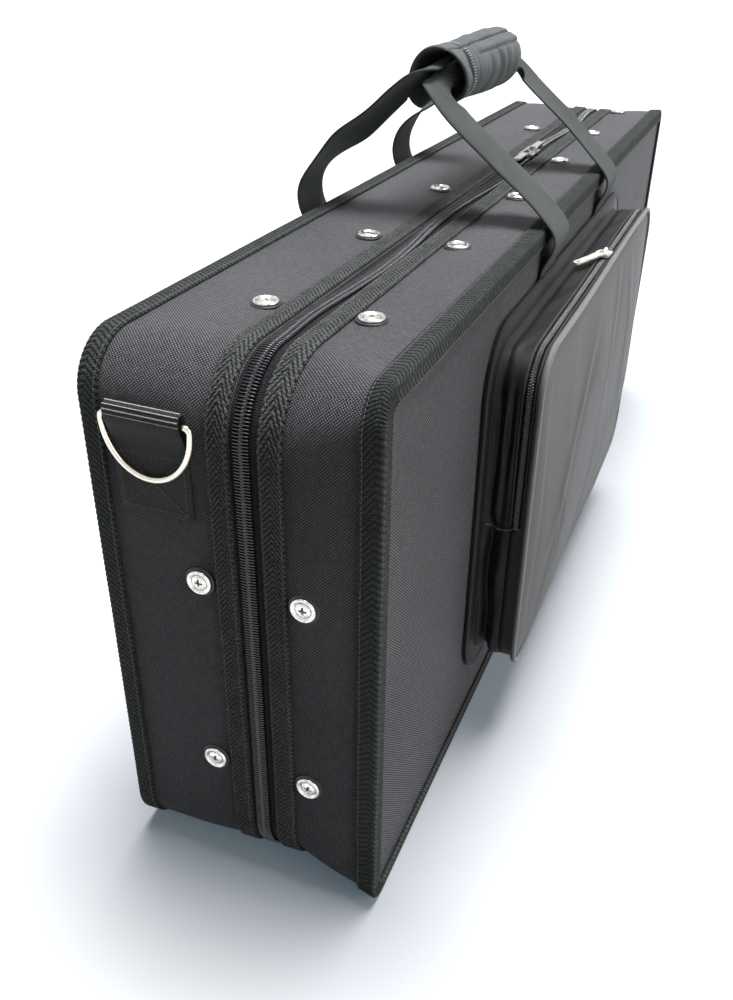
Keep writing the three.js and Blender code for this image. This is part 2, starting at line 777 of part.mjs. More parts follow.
function dRing(side) {
  const halfWidth = ringOuterWidth / 2 - ringWire;
  const points = [];
  const bend = ringCornerRadius;
  const bendSteps = 3;
  const bowSteps = 12;
  for (const across of [-1, 1]) {
    for (let k = 0; k <= bendSteps; k += 1) {
      const startAngle = across < 0 ? Math.PI : Math.PI / 2;
      const turn = startAngle - ((k / bendSteps) * Math.PI) / 2;
      const y = ringY + across * (halfWidth - bend) + bend * Math.cos(turn);
      points.push(new THREE.Vector2(y, ringTopZ - bend + bend * Math.sin(turn)));
    }
  }
  for (let k = 1; k < bowSteps; k += 1) {
    const angle = (-Math.PI * k) / bowSteps;
    const z = ringTopZ - bend + (ringDrop - bend) * Math.sin(angle);
    points.push(new THREE.Vector2(ringY + halfWidth * Math.cos(angle), z));
  }
  return wireLoop(points, side * (halfLength + ringBarOut), ringWire, ringSides);
}

addPart("near_d_ring_loop", ringHolder(-1), materials.webbing);
addPart("far_d_ring_loop", ringHolder(1), materials.webbing);
addPart("near_d_ring", dRing(-1), materials.chrome);
addPart("far_d_ring", dRing(1), materials.chrome);

// Zip sliders are drawn with travel along +X and the top of the coil at z = 0; the lip is on side +1 or -1
function sliderBody(length, width, plate, lip) {
  const half = width / 2;
  const outline = new THREE.Shape();
  outline.moveTo(-length / 2, -half * sliderNoseShare);
  outline.lineTo(-length / 4, -half);
  outline.lineTo(length / 2, -half);
  outline.lineTo(length / 2, half);
  outline.lineTo(-length / 4, half);
  outline.lineTo(-length / 2, half * sliderNoseShare);
  outline.closePath();
  const top = new THREE.ExtrudeGeometry(outline, { depth: plate, bevelEnabled: false });
  top.translate(0, 0, seatGap);
  const archInner = crossBar / 2 + bridgeClear + bridgeWall;
  const archOuter = archInner + bridgeWall;
  const clearTop = plate / 2 + crossBarLift + crossBar / 2 + bridgeClear;
  const arch = new THREE.Shape();
  arch.moveTo(-archOuter, 0);
  arch.lineTo(-archOuter, clearTop - bridgeWall / 2);
  arch.lineTo(-archInner, clearTop + bridgeWall);
  arch.lineTo(archInner, clearTop + bridgeWall);
  arch.lineTo(archOuter, clearTop - bridgeWall / 2);
  arch.lineTo(archOuter, 0);
  arch.lineTo(archInner, 0);
  arch.lineTo(archInner, clearTop);
  arch.lineTo(-archInner, clearTop);
  arch.lineTo(-archInner, 0);
  arch.closePath();
  const bridge = new THREE.ExtrudeGeometry(arch, { depth: bridgeWidth, bevelEnabled: false });
  bridge.rotateX(Math.PI / 2);
  bridge.translate(0, bridgeWidth / 2, seatGap + plate / 2);
  // The lip reaches down beside the row of coil that stays with the slider
  const lipInner = half - lip.wall;
  const lipBox = boxBetween(
    new THREE.Vector3(-length / 4, lip.side > 0 ? lipInner : -half, -lip.drop),
    new THREE.Vector3(length / 2, lip.side > 0 ? half : -lipInner, seatGap + plate / 2),
  );
  return fromSolid(toSolid(top).add(toSolid(bridge)).add(toSolid(lipBox)));
}

// Pull tab with its cross bar at x = 0 under the bridge, lying towards +X
function pullTab(length, width, thickness) {
  const half = width / 2;
  const frame = eyeWidth / 2 + eyeFrameWall;
  const frameEnd = eyeLength + eyeFrameWall;
  const outline = new THREE.Shape();
  outline.moveTo(-crossBar / 2, -frame);
  outline.lineTo(eyeLength, -frame);
  outline.lineTo(frameEnd, -half);
  outline.lineTo(length - half, -half);
  outline.absarc(length - half, 0, half, -Math.PI / 2, Math.PI / 2, false);
  outline.lineTo(frameEnd, half);
  outline.lineTo(eyeLength, frame);
  outline.lineTo(-crossBar / 2, frame);
  outline.closePath();
  const eye = new THREE.Path();
  eye.moveTo(crossBar / 2, -eyeWidth / 2);
  eye.lineTo(crossBar / 2, eyeWidth / 2);
  eye.lineTo(eyeLength, eyeWidth / 2);
  eye.lineTo(eyeLength, -eyeWidth / 2);
  eye.closePath();
  const hole = new THREE.Path();
  hole.absarc(length - half, 0, tabHoleRadius, 0, 2 * Math.PI, true);
  outline.holes.push(eye, hole);
  const extrusion = { depth: thickness, bevelEnabled: false, curveSegments: tabRoundSteps };
  const geometry = new THREE.ExtrudeGeometry(outline, extrusion);
  geometry.translate(0, 0, -thickness / 2);
  return geometry;
}

const coilTopZ = caseHeight - shellInset - seatGap - zipTapeThickness + coilHeight;
const mainLipWall = baseTapeMargin - 2 * sliderLipGap;
const mainSliderWidth = coilWidth + 2 * (sliderLipGap + mainLipWall);
const mainLipDrop = coilHeight - zipTapeThickness - seatGap;

for (const [name, side] of [["near", -1], ["far", 1]]) {
  const x = sliderMeetX + (side * (sliderLength + sliderSpacing)) / 2;
  const turn = side < 0 ? Math.PI : 0;
  const lip = { side, wall: mainLipWall, drop: mainLipDrop };
  const body = sliderBody(sliderLength, mainSliderWidth, sliderPlate, lip);
  body.rotateZ(turn);
  body.translate(x, zipY, coilTopZ);
  addPart(`${name}_zip_slider`, body, materials.chrome);
  const tab = pullTab(tabLength, tabWidth, tabThickness);
  tab.rotateZ(turn);
  tab.translate(x, zipY, coilTopZ + seatGap + sliderPlate + crossBarLift);
  addPart(`${name}_pull_tab`, tab, materials.chrome);
}

// Pocket: back panel with its flange and rear gusset, lower front, flap above the fold, zip and piping
const pocketBox = { nearX: pocketNearX, farX: pocketFarX, lowZ: pocketLowZ, highZ: pocketHighZ };
const pocketStations = outlineStations(pocketBox, pocketCorner);
const pocketBackY = lidFaceY - 2 * seatGap - webbingThickness;
const pocketFrontY = lidFaceY - seatGap - pocketDepth;
const pocketZipY = lidFaceY - seatGap - pocketZipFromRear;
const pocketHalfCoil = pocketCoilWidth / 2;
const rearGussetEndY = pocketZipY + pocketHalfCoil;
const frontGussetStartY = pocketZipY - pocketHalfCoil;

function pocketRear() {
  const panel = slabBody(pocketStations, [
    [pocketFlange, pocketBackY],
    [pocketFlange, pocketBackY - pocketSkin],
  ]);
  const wall = trimBody(pocketStations, [
    [0, pocketBackY - pocketSkin / 2],
    [0, rearGussetEndY],
    [-pocketSkin, rearGussetEndY],
    [-pocketSkin, pocketBackY - pocketSkin / 2],
  ], true);
  return fromSolid(toSolid(panel).add(toSolid(wall)));
}

// Outline insets and crown heights of the front panel, as shares of the pocket's half height and crown
const crownShares = [
  [0.12, 0.3],
  [0.3, 0.62],
  [0.55, 0.88],
  [0.8, 1],
];

function crownSections(inset, frontY, crown) {
  const halfX = (pocketFarX - pocketNearX) / 2;
  const halfZ = (pocketHighZ - pocketLowZ) / 2;
  const centreX = (pocketFarX + pocketNearX) / 2;
  const centreZ = (pocketHighZ + pocketLowZ) / 2;
  const sections = [];
  for (const [insetShare, crownShare] of crownShares) {
    const shrinkX = halfX - inset - insetShare * halfZ;
    const shrinkZ = halfZ - inset - insetShare * (halfZ - inset);
    sections.push(pocketStations.map((station) => new THREE.Vector3(
      centreX + ((station.x - centreX) / halfX) * shrinkX,
      frontY - crown * crownShare,
      centreZ + ((station.z - centreZ) / halfZ) * shrinkZ,
    )));
  }
  return sections;
}

function pocketFrontShell(startY) {
  const outerSections = [
    outlineAt(pocketStations, [0, startY]),
    outlineAt(pocketStations, [0, pocketFrontY]),
    ...crownSections(0, pocketFrontY, pocketCrown),
  ];
  const innerY = pocketFrontY + pocketSkin;
  const innerSections = [
    outlineAt(pocketStations, [-pocketSkin, startY + cutOverrun]),
    outlineAt(pocketStations, [-pocketSkin, innerY]),
    ...crownSections(pocketSkin, innerY, pocketCrown),
  ];
  const outline = (sections) => sections[0].map((p) => new THREE.Vector2(p.x, p.z));
  const outer = toSolid(loftBody(outerSections, outline(outerSections)));
  return outer.subtract(toSolid(loftBody(innerSections, outline(innerSections))));
}

// Keeps what lies above or below the fold line, with half of the gap on each side
function beyondFold(solid, side) {
  const edgeZ = pocketFoldZ + (side * seatGap) / 2;
  const farZ = pocketFoldZ + side * caseHeight;
  const low = new THREE.Vector3(-caseLength, -2 * caseDepth, Math.min(edgeZ, farZ));
  const high = new THREE.Vector3(caseLength, caseDepth, Math.max(edgeZ, farZ));
  return fromSolid(solid.intersect(toSolid(boxBetween(low, high))));
}

function piping() {
  const profile = [];
  const out = seatGap + pipingRadius;
  for (let k = 0; k < pipingSides; k += 1) {
    const angle = (2 * Math.PI * k) / pipingSides;
    profile.push([out + pipingRadius * Math.cos(angle), pocketFrontY + pipingRadius * Math.sin(angle)]);
  }
  return toSolid(trimBody(pocketStations, profile, true));
}

// Half of the pocket zip, over the top and down both sides to the fold
function pocketZipHalf(side) {
  const arch = pocketStations.slice(cornerSteps + 1, 3 * (cornerSteps + 1));
  const footZ = pocketFoldZ + seatGap;
  const stations = openStations(arch, { z: footZ }, { z: footZ });
  const meetY = pocketZipY + (side * coilGap) / 2;
  const endY = pocketZipY + side * (pocketHalfCoil - seatGap);
  const coilEndY = pocketZipY + side * (pocketHalfCoil - pocketTape);
  return trimBody(stations, [
    [-pocketTape, meetY],
    [-pocketTape + pocketCoilHeight, meetY],
    [-pocketTape + pocketCoilHeight, coilEndY],
    [0, coilEndY],
    [0, endY],
    [-pocketTape, endY],
  ], false);
}

addPart("pocket_rear_panel", pocketRear(), materials.satin);
addPart("pocket_lower_panel", beyondFold(pocketFrontShell(rearGussetEndY - seatGap), -1), materials.satin);
addPart("pocket_flap", beyondFold(pocketFrontShell(frontGussetStartY), 1), materials.satin);
addPart("pocket_lower_piping", beyondFold(piping(), -1), materials.piping);
addPart("pocket_flap_piping", beyondFold(piping(), 1), materials.piping);
addPart("pocket_rear_zip_half", pocketZipHalf(1), materials.coil);
addPart("pocket_flap_zip_half", pocketZipHalf(-1), materials.coil);

const pocketCoilTopZ = pocketHighZ - pocketTape + pocketCoilHeight;
const pocketSliderWidth = pocketCoilWidth + 2 * pocketTape;
const pocketLipDrop = pocketCoilHeight - pocketTape - seatGap;
const pocketLip = { side: 1, wall: pocketTape - sliderLipGap, drop: pocketLipDrop };
const pocketSlider = sliderBody(sliderLength, pocketSliderWidth, sliderPlate, pocketLip);
pocketSlider.translate(pocketSliderX, pocketZipY, pocketCoilTopZ + pocketSliderLift);
addPart("pocket_zip_slider", pocketSlider, materials.chrome);
const pocketPull = pullTab(pocketTabLength, tabWidth, tabThickness);
pocketPull.rotateZ(THREE.MathUtils.degToRad(180 - pocketTabYaw));
const pocketBarZ = pocketCoilTopZ + pocketSliderLift + seatGap + sliderPlate + crossBarLift;
pocketPull.translate(pocketSliderX, pocketZipY, pocketBarZ);
addPart("pocket_pull_tab", pocketPull, materials.chrome);

export default pedalboardCase;
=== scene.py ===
import math

import bpy
import numpy as np
from mathutils import Matrix, Vector


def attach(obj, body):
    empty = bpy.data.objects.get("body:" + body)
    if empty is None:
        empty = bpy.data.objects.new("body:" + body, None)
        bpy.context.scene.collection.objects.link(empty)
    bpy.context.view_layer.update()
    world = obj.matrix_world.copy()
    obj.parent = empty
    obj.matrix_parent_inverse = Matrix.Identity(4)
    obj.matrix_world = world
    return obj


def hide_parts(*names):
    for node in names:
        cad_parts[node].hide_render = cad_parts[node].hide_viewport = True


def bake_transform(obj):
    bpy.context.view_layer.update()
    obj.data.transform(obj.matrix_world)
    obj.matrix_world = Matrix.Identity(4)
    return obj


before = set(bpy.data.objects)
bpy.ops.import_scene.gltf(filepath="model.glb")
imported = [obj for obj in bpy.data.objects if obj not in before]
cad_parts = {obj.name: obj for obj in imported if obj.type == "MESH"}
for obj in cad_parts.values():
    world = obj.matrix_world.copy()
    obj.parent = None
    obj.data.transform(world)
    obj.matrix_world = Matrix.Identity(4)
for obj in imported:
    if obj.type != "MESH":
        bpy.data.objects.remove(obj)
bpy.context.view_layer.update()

# Shell covers
# Coarse black nylon glued round two trays of stiff board, one for the base and one for the lid.
# The cloth is drawn in where the tapes are sewn down, so each wall stands a little proud between them.

half_length = 0.390
case_height = 0.312
half_height = case_height / 2
half_depth = 0.075
corner_radius = 0.030
zip_y = -0.008
cover_inset = 0.0015
cover_wall = 0.005
cover_edge_round = 0.004
base_face_y = half_depth - cover_inset
base_edge_y = -0.0017
lid_edge_y = -0.01605
base_guard = (-0.0014, 0.0096)
lid_guard = (-0.01635, -0.02835)
binding_on_wall = 0.011
wall_puff = 0.0010
face_puff = 0.0016
face_margin = 0.010
bend_cells = 6
face_cells = (108, 40)
wall_rows = 21
strap_places = (-0.108, 0.065)
strap_reach = 0.028
strap_low = -0.105
strap_press = 0.0002
corner_depths = (-half_depth, lid_guard[1], half_depth)
corner_radii = (0.015, 0.042, 0.028)


class Finish:
    """The nodes of one material, with short calls for the steps that the cloths and metals here need"""

    def __init__(self, name, roughness, specular=0.5, metallic=0.0):
        self.material = bpy.data.materials.new(name)
        self.material.use_nodes = True
        self.tree = self.material.node_tree
        self.shader = self.tree.nodes["Principled BSDF"]
        self.shader.inputs["Roughness"].default_value = roughness
        self.shader.inputs["Specular IOR Level"].default_value = specular
        self.shader.inputs["Metallic"].default_value = metallic

    def node(self, kind, **settings):
        made = self.tree.nodes.new(kind)
        for key, value in settings.items():
            setattr(made, key, value)
        return made

    def feed(self, socket, value):
        """Link a socket, or set a number or a colour of three numbers"""
        if isinstance(value, bpy.types.NodeSocket):
            self.tree.links.new(value, socket)
        else:
            socket.default_value = (*value, 1.0) if isinstance(value, tuple) else value

    def maths(self, operation, *values):
        made = self.node("ShaderNodeMath", operation=operation)
        for socket, value in zip(made.inputs, values):
            self.feed(socket, value)
        return made.outputs[0]

    def cloth_places(self):
        """Metres along and across the cloth"""
        uv = self.node("ShaderNodeUVMap", uv_map="cloth")
        split = self.node("ShaderNodeSeparateXYZ")
        self.feed(split.inputs[0], uv.outputs[0])
        return split.outputs[0], split.outputs[1]

    def noise(self, size, detail=2.0):
        """Soft patches of about this size in metres, from 0 to 1"""
        made = self.node("ShaderNodeTexNoise")
        self.feed(made.inputs["Vector"], self.node("ShaderNodeTexCoord").outputs["Object"])
        made.inputs["Scale"].default_value = 1 / size
        made.inputs["Detail"].default_value = detail
        return made.outputs["Fac"]

    def times(self, first, *others):
        for other in others:
            first = self.maths("MULTIPLY", first, other)
        return first

    def span(self, value, low, high, out_low=0.0, out_high=1.0):
        made = self.node("ShaderNodeMapRange")
        for socket, given in zip(made.inputs, (value, low, high, out_low, out_high)):
            self.feed(socket, given)
        return made.outputs[0]

    def patches(self, size, detail, low, high):
        """Soft patches of about this size in metres, between two values"""
        return self.span(self.noise(size, detail), 0.3, 0.7, low, high)

    def mix(self, share, low, high):
        made = self.node("ShaderNodeMix", data_type="RGBA")
        for place, given in ((0, share), (6, low), (7, high)):
            self.feed(made.inputs[place], given)
        return made.outputs[2]

    def tint(self, colour, share):
        """A colour made darker or lighter by a share"""
        made = self.node("ShaderNodeMix", data_type="RGBA", blend_type="MULTIPLY")
        made.inputs[0].default_value = 1.0
        self.feed(made.inputs[6], colour)
        grey = self.node("ShaderNodeCombineColor")
        for socket in grey.inputs:
            self.feed(socket, share)
        self.feed(made.inputs[7], grey.outputs[0])
        return made.outputs[2]

    def wave(self, place, half_length):
        return self.maths("SINE", self.times(place, math.pi / half_length))

    def crossing(self, along, across, yarn_along, yarn_across):
        """Plain weave: above 0 where a lengthwise yarn lies on top, below 0 where a crosswise one does"""
        return self.times(self.wave(along, yarn_along), self.wave(across, yarn_across))

    def lift(self, crossing):
        """Height of the yarns, from 0 in the grooves to 1 on their backs"""
        return self.maths("POWER", self.maths("ABSOLUTE", crossing), 0.5)

    def ribs(self, place, pitch):
        """Rounded ribs, from 0 between them to 1 on their backs"""
        return self.maths("ABSOLUTE", self.wave(place, pitch))

    def bump(self, height, distance, strength=1.0):
        made = self.node("ShaderNodeBump")
        made.inputs["Strength"].default_value = strength
        made.inputs["Distance"].default_value = distance
        self.feed(made.inputs["Height"], height)
        self.feed(self.shader.inputs["Normal"], made.outputs[0])

    def colour(self, value):
        self.feed(self.shader.inputs["Base Color"], value)

    def sheen(self, weight, roughness, tint):
        for what, value in (("Weight", weight), ("Roughness", roughness), ("Tint", tint)):
            self.feed(self.shader.inputs[f"Sheen {what}"], value)


def nylon_finish(name, yarn, lit_warp_colour, shaded_weft_colour):
    finish = Finish(name, 0.5, 0.13)
    along, across = finish.cloth_places()
    over = finish.crossing(along, across, yarn, yarn)
    slant = finish.wave(finish.maths("ADD", along, across), yarn)
    lift = finish.lift(over)
    slubs = finish.patches(0.003, 1.0, -0.14, 0.14)
    # Random tone, slubs and a twill slant, with painted shade in the hollows between the yarns and painted light on
    # their tops
    tone_and_hollow_shade = finish.times(
        finish.maths("ADD", finish.patches(0.09, 3.0, 0.88, 1.12), slubs),
        finish.span(lift, 0.1, 0.75, 0.25, 1.15), finish.span(slant, -1.0, 1.0, 0.72, 1.28),
    )
    # Lengthwise yarns lit and crosswise ones in shade: one black yarn drawn as painted highlight and painted shade
    cloth = finish.tint(finish.mix(finish.span(over, -0.3, 0.3), shaded_weft_colour, lit_warp_colour), tone_and_hollow_shade)
    # Scattered pale bluish specks mixed into the colour
    pale_specks = finish.span(finish.noise(0.0016, 0.0), 0.83, 0.86)
    finish.colour(finish.mix(finish.times(pale_specks, 0.4), cloth, (0.34, 0.35, 0.36)))
    finish.feed(finish.shader.inputs["Roughness"], finish.span(over, -0.3, 0.3, 0.6, 0.4))
    finish.bump(lift, 0.0005, 1.0)
    finish.sheen(0.03, 0.4, (0.78, 0.85, 1.0))
    return finish.material


def mesh_piece(name, points, quads, quad_uv=None, polygons=(), material=None, body=None):
    """A smooth mesh from points, quads with their corners' places on the cloth, and a few larger faces"""
    mesh = bpy.data.meshes.new(name)
    quads = np.asarray(quads, np.int32).reshape(-1, 4)
    corners = np.concatenate([quads.ravel()] + [np.asarray(p, np.int32) for p in polygons])
    totals = np.array([4] * len(quads) + [len(p) for p in polygons], np.int32)
    mesh.vertices.add(len(points))
    mesh.vertices.foreach_set("co", np.asarray(points, np.float32).ravel())
    mesh.loops.add(len(corners))
    mesh.loops.foreach_set("vertex_index", corners)
    mesh.polygons.add(len(totals))
    mesh.polygons.foreach_set("loop_start", np.concatenate([[0], np.cumsum(totals)[:-1]]).astype(np.int32))
    mesh.polygons.foreach_set("loop_total", totals)
    mesh.polygons.foreach_set("use_smooth", np.ones(len(totals), bool))
    mesh.update(calc_edges=True)
    if quad_uv is not None:
        layer = mesh.uv_layers.new(name="cloth")
        places = np.zeros((len(corners), 2), np.float32)
        places[: quads.size] = np.asarray(quad_uv, np.float32).reshape(-1, 2)
        layer.data.foreach_set("uv", places.ravel())
    piece = bpy.data.objects.new(name, mesh)
    bpy.context.scene.collection.objects.link(piece)
    if material:
        mesh.materials.append(material)
    if body:
        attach(piece, body)
    return piece


def facing_out(points, quads, polygons=()):
    """True if a closed set of faces has its faces pointing out"""
    p = np.asarray(points, float)
    triangles = [quads[:, [0, 1, 2]], quads[:, [0, 2, 3]]]
    for polygon in polygons:
        polygon = np.asarray(polygon)
        triangles.append(np.stack([np.full(len(polygon) - 2, polygon[0]), polygon[1:-1], polygon[2:]], 1))
    t = np.concatenate(triangles)
    return np.einsum("ij,ij->i", p[t[:, 0]], np.cross(p[t[:, 1]], p[t[:, 2]])).sum() > 0


def closed_piece(name, points, quads, quad_uv=None, polygons=(), **looks):
    """mesh_piece for a closed body, turned so that its faces point out"""
    quads = np.asarray(quads).reshape(-1, 4)
    if not facing_out(points, quads, polygons):
        quads = quads[:, ::-1]
        polygons = [list(p)[::-1] for p in polygons]
        if quad_uv is not None:
            quad_uv = np.asarray(quad_uv).reshape(-1, 4, 2)[:, ::-1]
    return mesh_piece(name, points, quads, quad_uv, polygons, **looks)


class Outline:
    """A rounded rectangle that pieces follow. Distances s run round it from the middle of its lower side, up the near
    end, over the top and down the far end, and are counted for the plain corner radius; radius_at gives the real
    radius for a depth y."""

    def __init__(self, half_x, half_z, radius, middle_x, middle_z, radius_at=None):
        self.half_x, self.half_z, self.radius = half_x, half_z, radius
        self.middle_x, self.middle_z = middle_x, middle_z
        self.radius_at = radius_at or (lambda y: radius + 0 * y)
        bend = math.pi * radius / 2
        run_x, run_z = half_x - radius, half_z - radius
        self.runs = np.array([run_x, bend, 2 * run_z, bend, 2 * run_x, bend, 2 * run_z, bend, run_x])
        self.ends = np.cumsum(self.runs)
        self.length = self.ends[-1]

    def at(self, s, out, y):
        """Points at distances s, out from the outline and at depth y, with the directions that point out there"""
        s, out, y = np.broadcast_arrays(np.asarray(s, float), out, y)
        s = np.mod(s, self.length)
        piece = np.minimum(np.searchsorted(self.ends, s, side="right"), 8)
        share = (s - (self.ends[piece] - self.runs[piece])) / self.runs[piece]
        turns = 1 + piece // 2 + np.where(piece % 2 == 1, share, 0)
        angle = -math.pi / 2 * turns
        nx, nz = np.cos(angle), np.sin(angle)
        radius = self.radius_at(y)
        from_x = np.array([0, -1, -1, -1, -1, 1, 1, 1, 1])[piece]
        to_x = np.array([-1, -1, -1, -1, 1, 1, 1, 1, 0])[piece]
        from_z = np.array([-1, -1, -1, 1, 1, 1, 1, -1, -1])[piece]
        to_z = np.array([-1, -1, 1, 1, 1, 1, -1, -1, -1])[piece]
        x = (self.half_x - radius) * (from_x + (to_x - from_x) * share) + (radius + out) * nx
        z = (self.half_z - radius) * (from_z + (to_z - from_z) * share) + (radius + out) * nz
        points = np.stack([x + self.middle_x, y, z + self.middle_z], -1)
        return points, np.stack([nx, 0 * nx, nz], -1)


def corner_radius_at(y):
    """The corners are tight where the walls are sewn to the flat faces and soft beside the zip"""
    return np.interp(y, corner_depths, corner_radii)


case_line = Outline(half_length, half_height, corner_radius, 0.0, half_height, corner_radius_at)


def numbered(rows, columns):
    """Row and column numbers of a grid, as two flat lists"""
    return (part.ravel() for part in np.meshgrid(np.arange(rows), np.arange(columns), indexing="ij"))


def face_grid(outline, inset, y, cells):
    """A flat rounded rectangle of quads inside an outline, with the numbers of the points along its edge and each
    edge point's share of the way to the corner and direction out; cells counts those along x and z"""
    radius = float(outline.radius_at(np.float64(y))) - inset
    half_x, half_z = outline.half_x - inset, outline.half_z - inset

    def marks(half, cells):
        side = np.linspace(0, radius, bend_cells + 1)
        middle = np.linspace(radius - half, half - radius, cells + 1)[1:-1]
        return np.concatenate([side - half, middle, half - radius + side])

    x, z = np.meshgrid(marks(half_x, cells[0]), marks(half_z, cells[1]), indexing="ij")
    a = np.clip((np.abs(x) - (half_x - radius)) / radius, 0, 1)
    b = np.clip((np.abs(z) - (half_z - radius)) / radius, 0, 1)
    px = (np.minimum(np.abs(x), half_x - radius) + radius * a * np.sqrt(1 - b * b / 2)) * np.sign(x)
    pz = (np.minimum(np.abs(z), half_z - radius) + radius * b * np.sqrt(1 - a * a / 2)) * np.sign(z)
    rows, columns = x.shape
    order = [(i, 0) for i in range(rows - 1)] + [(rows - 1, j) for j in range(columns - 1)]
    order += [(i, columns - 1) for i in range(rows - 1, 0, -1)] + [(0, j) for j in range(columns - 1, 0, -1)]
    edge = np.array([i * columns + j for i, j in order])
    px, pz = px.ravel(), pz.ravel()
    share_x = np.clip(px[edge] / (half_x - radius), -1, 1)
    share_z = np.clip(pz[edge] / (half_z - radius), -1, 1)
    out_x, out_z = px[edge] - share_x * (half_x - radius), pz[edge] - share_z * (half_z - radius)
    size = np.hypot(out_x, out_z)
    i, j = numbered(rows - 1, columns - 1)
    first = i * columns + j
    quads = np.stack([first, first + columns, first + columns + 1, first + 1], 1)
    return {"x": px, "z": pz, "edge": edge, "quads": quads, "share": (share_x, share_z),
            "out": (out_x / size, out_z / size), "half": (half_x, half_z)}


def grid_ring(outline, grid, out, y):
    """The edge of a face grid carried to another depth y and distance out, with the outline's own radius there"""
    radius = outline.radius_at(y)
    x = grid["share"][0] * (outline.half_x - radius) + grid["out"][0] * (radius + out)
    z = grid["share"][1] * (outline.half_z - radius) + grid["out"][1] * (radius + out)
    return np.stack([x + outline.middle_x, np.broadcast_to(y, x.shape), z + outline.middle_z], 1)


def tray_piece(name, outline, grid, face_y, rings, floor_y, **looks):
    """A closed tray: a face grid, rings of points round it, and the same grid again as the floor inside the last
    ring. face_y and floor_y give the depth of each grid point."""
    edge, quads = grid["edge"], grid["quads"]
    count, around = len(grid["x"]), len(edge)
    face = np.stack([grid["x"] + outline.middle_x, face_y + 0 * grid["x"], grid["z"] + outline.middle_z], 1)
    flat = np.stack([grid["x"], grid["z"]], 1)
    points, rows, places = [face], [edge], [flat[quads]]
    for k, ring in enumerate(rings):
        points.append(ring)
        rows.append(np.arange(count + k * around, count + (k + 1) * around))
    middle = np.array([outline.middle_x, outline.middle_z])
    narrower = np.abs(rings[-1][:, [0, 2]] - middle).max(0) / np.abs(flat).max(0)
    floor = np.stack([
        flat[:, 0] * narrower[0] + middle[0], floor_y + 0 * flat[:, 0], flat[:, 1] * narrower[1] + middle[1],
    ], 1)
    floor_numbers = np.full(count, -1)
    floor_numbers[edge] = rows[-1]
    inner = np.setdiff1d(np.arange(count), edge)
    floor_numbers[inner] = count + len(rings) * around + np.arange(len(inner))
    points.append(floor[inner])
    after = np.roll(np.arange(around), -1)
    out_x, out_z = grid["out"]
    upright = np.abs(out_x + out_x[after]) > np.abs(out_z + out_z[after])

    def cloth_along(ring):
        """Each ring point's place along the cloth on its own side of the case, and on the next point's side"""
        reach = np.abs(ring[:, [0, 2]] - middle)
        radius = np.maximum(outline.radius_at(np.median(ring[:, 1])), 1e-6)
        lean = np.arctan2(np.abs(out_x), np.abs(out_z))
        level = np.sign(ring[:, 0] - middle[0]) * (np.minimum(reach[:, 0], outline.half_x - radius) + radius * lean)
        rising = np.sign(ring[:, 2] - middle[1]) * (
            np.minimum(reach[:, 1], outline.half_z - radius) + radius * (math.pi / 2 - lean))
        first = np.where(upright, rising, level)
        return first, np.where(upright, rising[after], level[after])

    faces, height = [quads], 0.0
    for k in range(len(rings)):
        a, b = rows[k], rows[k + 1]
        before = face[edge] if k == 0 else rings[k - 1]
        rise = float(np.median(np.linalg.norm(rings[k] - before, axis=1)))
        faces.append(np.stack([a, a[after], b[after], b], 1))
        (u0, u1), (u3, u2) = cloth_along(before), cloth_along(rings[k])
        v = np.tile([height, height, height + rise, height + rise], (around, 1))
        places.append(np.stack([np.stack([u0, u1, u2, u3], 1), v], -1))
        height += rise
    faces.append(floor_numbers[quads][:, ::-1])
    places.append(flat[quads][:, ::-1])
    return closed_piece(name, np.concatenate(points), np.concatenate(faces), np.concatenate(places), **looks)


def soft_wave(places, lengths, seed):
    """A smooth wave of about unit height from a few sines of the given lengths"""
    total = 0 * places
    for k, length in enumerate(lengths):
        total = total + np.sin(2 * math.pi * places / length + seed * (k + 1.7)) / (k + 1)
    return total / 1.5


def case_tray(name, inset, face_y, edge_y, wall, edge_round, puff, proud_from, proud_to, material, body):
    """A tray inside the case outline. puff is how far the cloth stands proud of the walls and of the face, on the
    walls only between the two given depths, and not under the straps on the face."""
    side = math.copysign(1, face_y - edge_y)
    grid = face_grid(case_line, inset + edge_round, face_y, face_cells)
    x, z = grid["x"], grid["z"]
    from_edge = np.minimum(grid["half"][0] - np.abs(x), grid["half"][1] - np.abs(z))
    crown = puff[1] * (1 - np.exp(-np.clip(from_edge - face_margin, 0, None) / 0.03))
    crown += 0.3 * puff[1] * soft_wave(x + 0.4 * z, (0.31, 0.17, 0.11), 2.1) * np.clip(from_edge / 0.06, 0, 1)
    under_strap = sum(np.exp(-((x - place) / strap_reach) ** 6) for place in strap_places)
    under_strap = under_strap / (1 + np.exp(-(z - strap_low) / 0.004))
    crown = crown * (1 - under_strap) - strap_press * under_strap
    around = np.arange(len(grid["edge"])) / len(grid["edge"]) * case_line.length
    rings = []
    for angle in (30, 60):
        turn = math.radians(angle)
        y = face_y - side * edge_round * (1 - math.cos(turn))
        rings.append(grid_ring(case_line, grid, -inset - edge_round * (1 - math.sin(turn)), y))
    wall_start = face_y - side * edge_round
    for share in np.linspace(0, 1, wall_rows):
        y = wall_start + (edge_y - wall_start) * share
        proud = (y - proud_from) / (proud_to - proud_from)
        height = puff[0] * math.sin(math.pi * proud) ** 0.6 if 0 < proud < 1 else 0.0
        wave = 1 + 0.4 * soft_wave(around + 2 * y, (0.31, 0.137, 0.083), 1.3)
        rings.append(grid_ring(case_line, grid, -inset + height * wave, y))
    inside = inset + wall
    inner_round = edge_round / 2
    floor_y = face_y - side * wall
    for share in (0.0, 0.5):
        rings.append(grid_ring(case_line, grid, -inside, edge_y + (floor_y - edge_y) * share))
    rings.append(grid_ring(case_line, grid, -inside, floor_y - side * inner_round))
    rings.append(grid_ring(case_line, grid, -inside - inner_round, floor_y))
    return tray_piece(name, case_line, grid, face_y + side * crown, rings, floor_y, material=material, body=body)
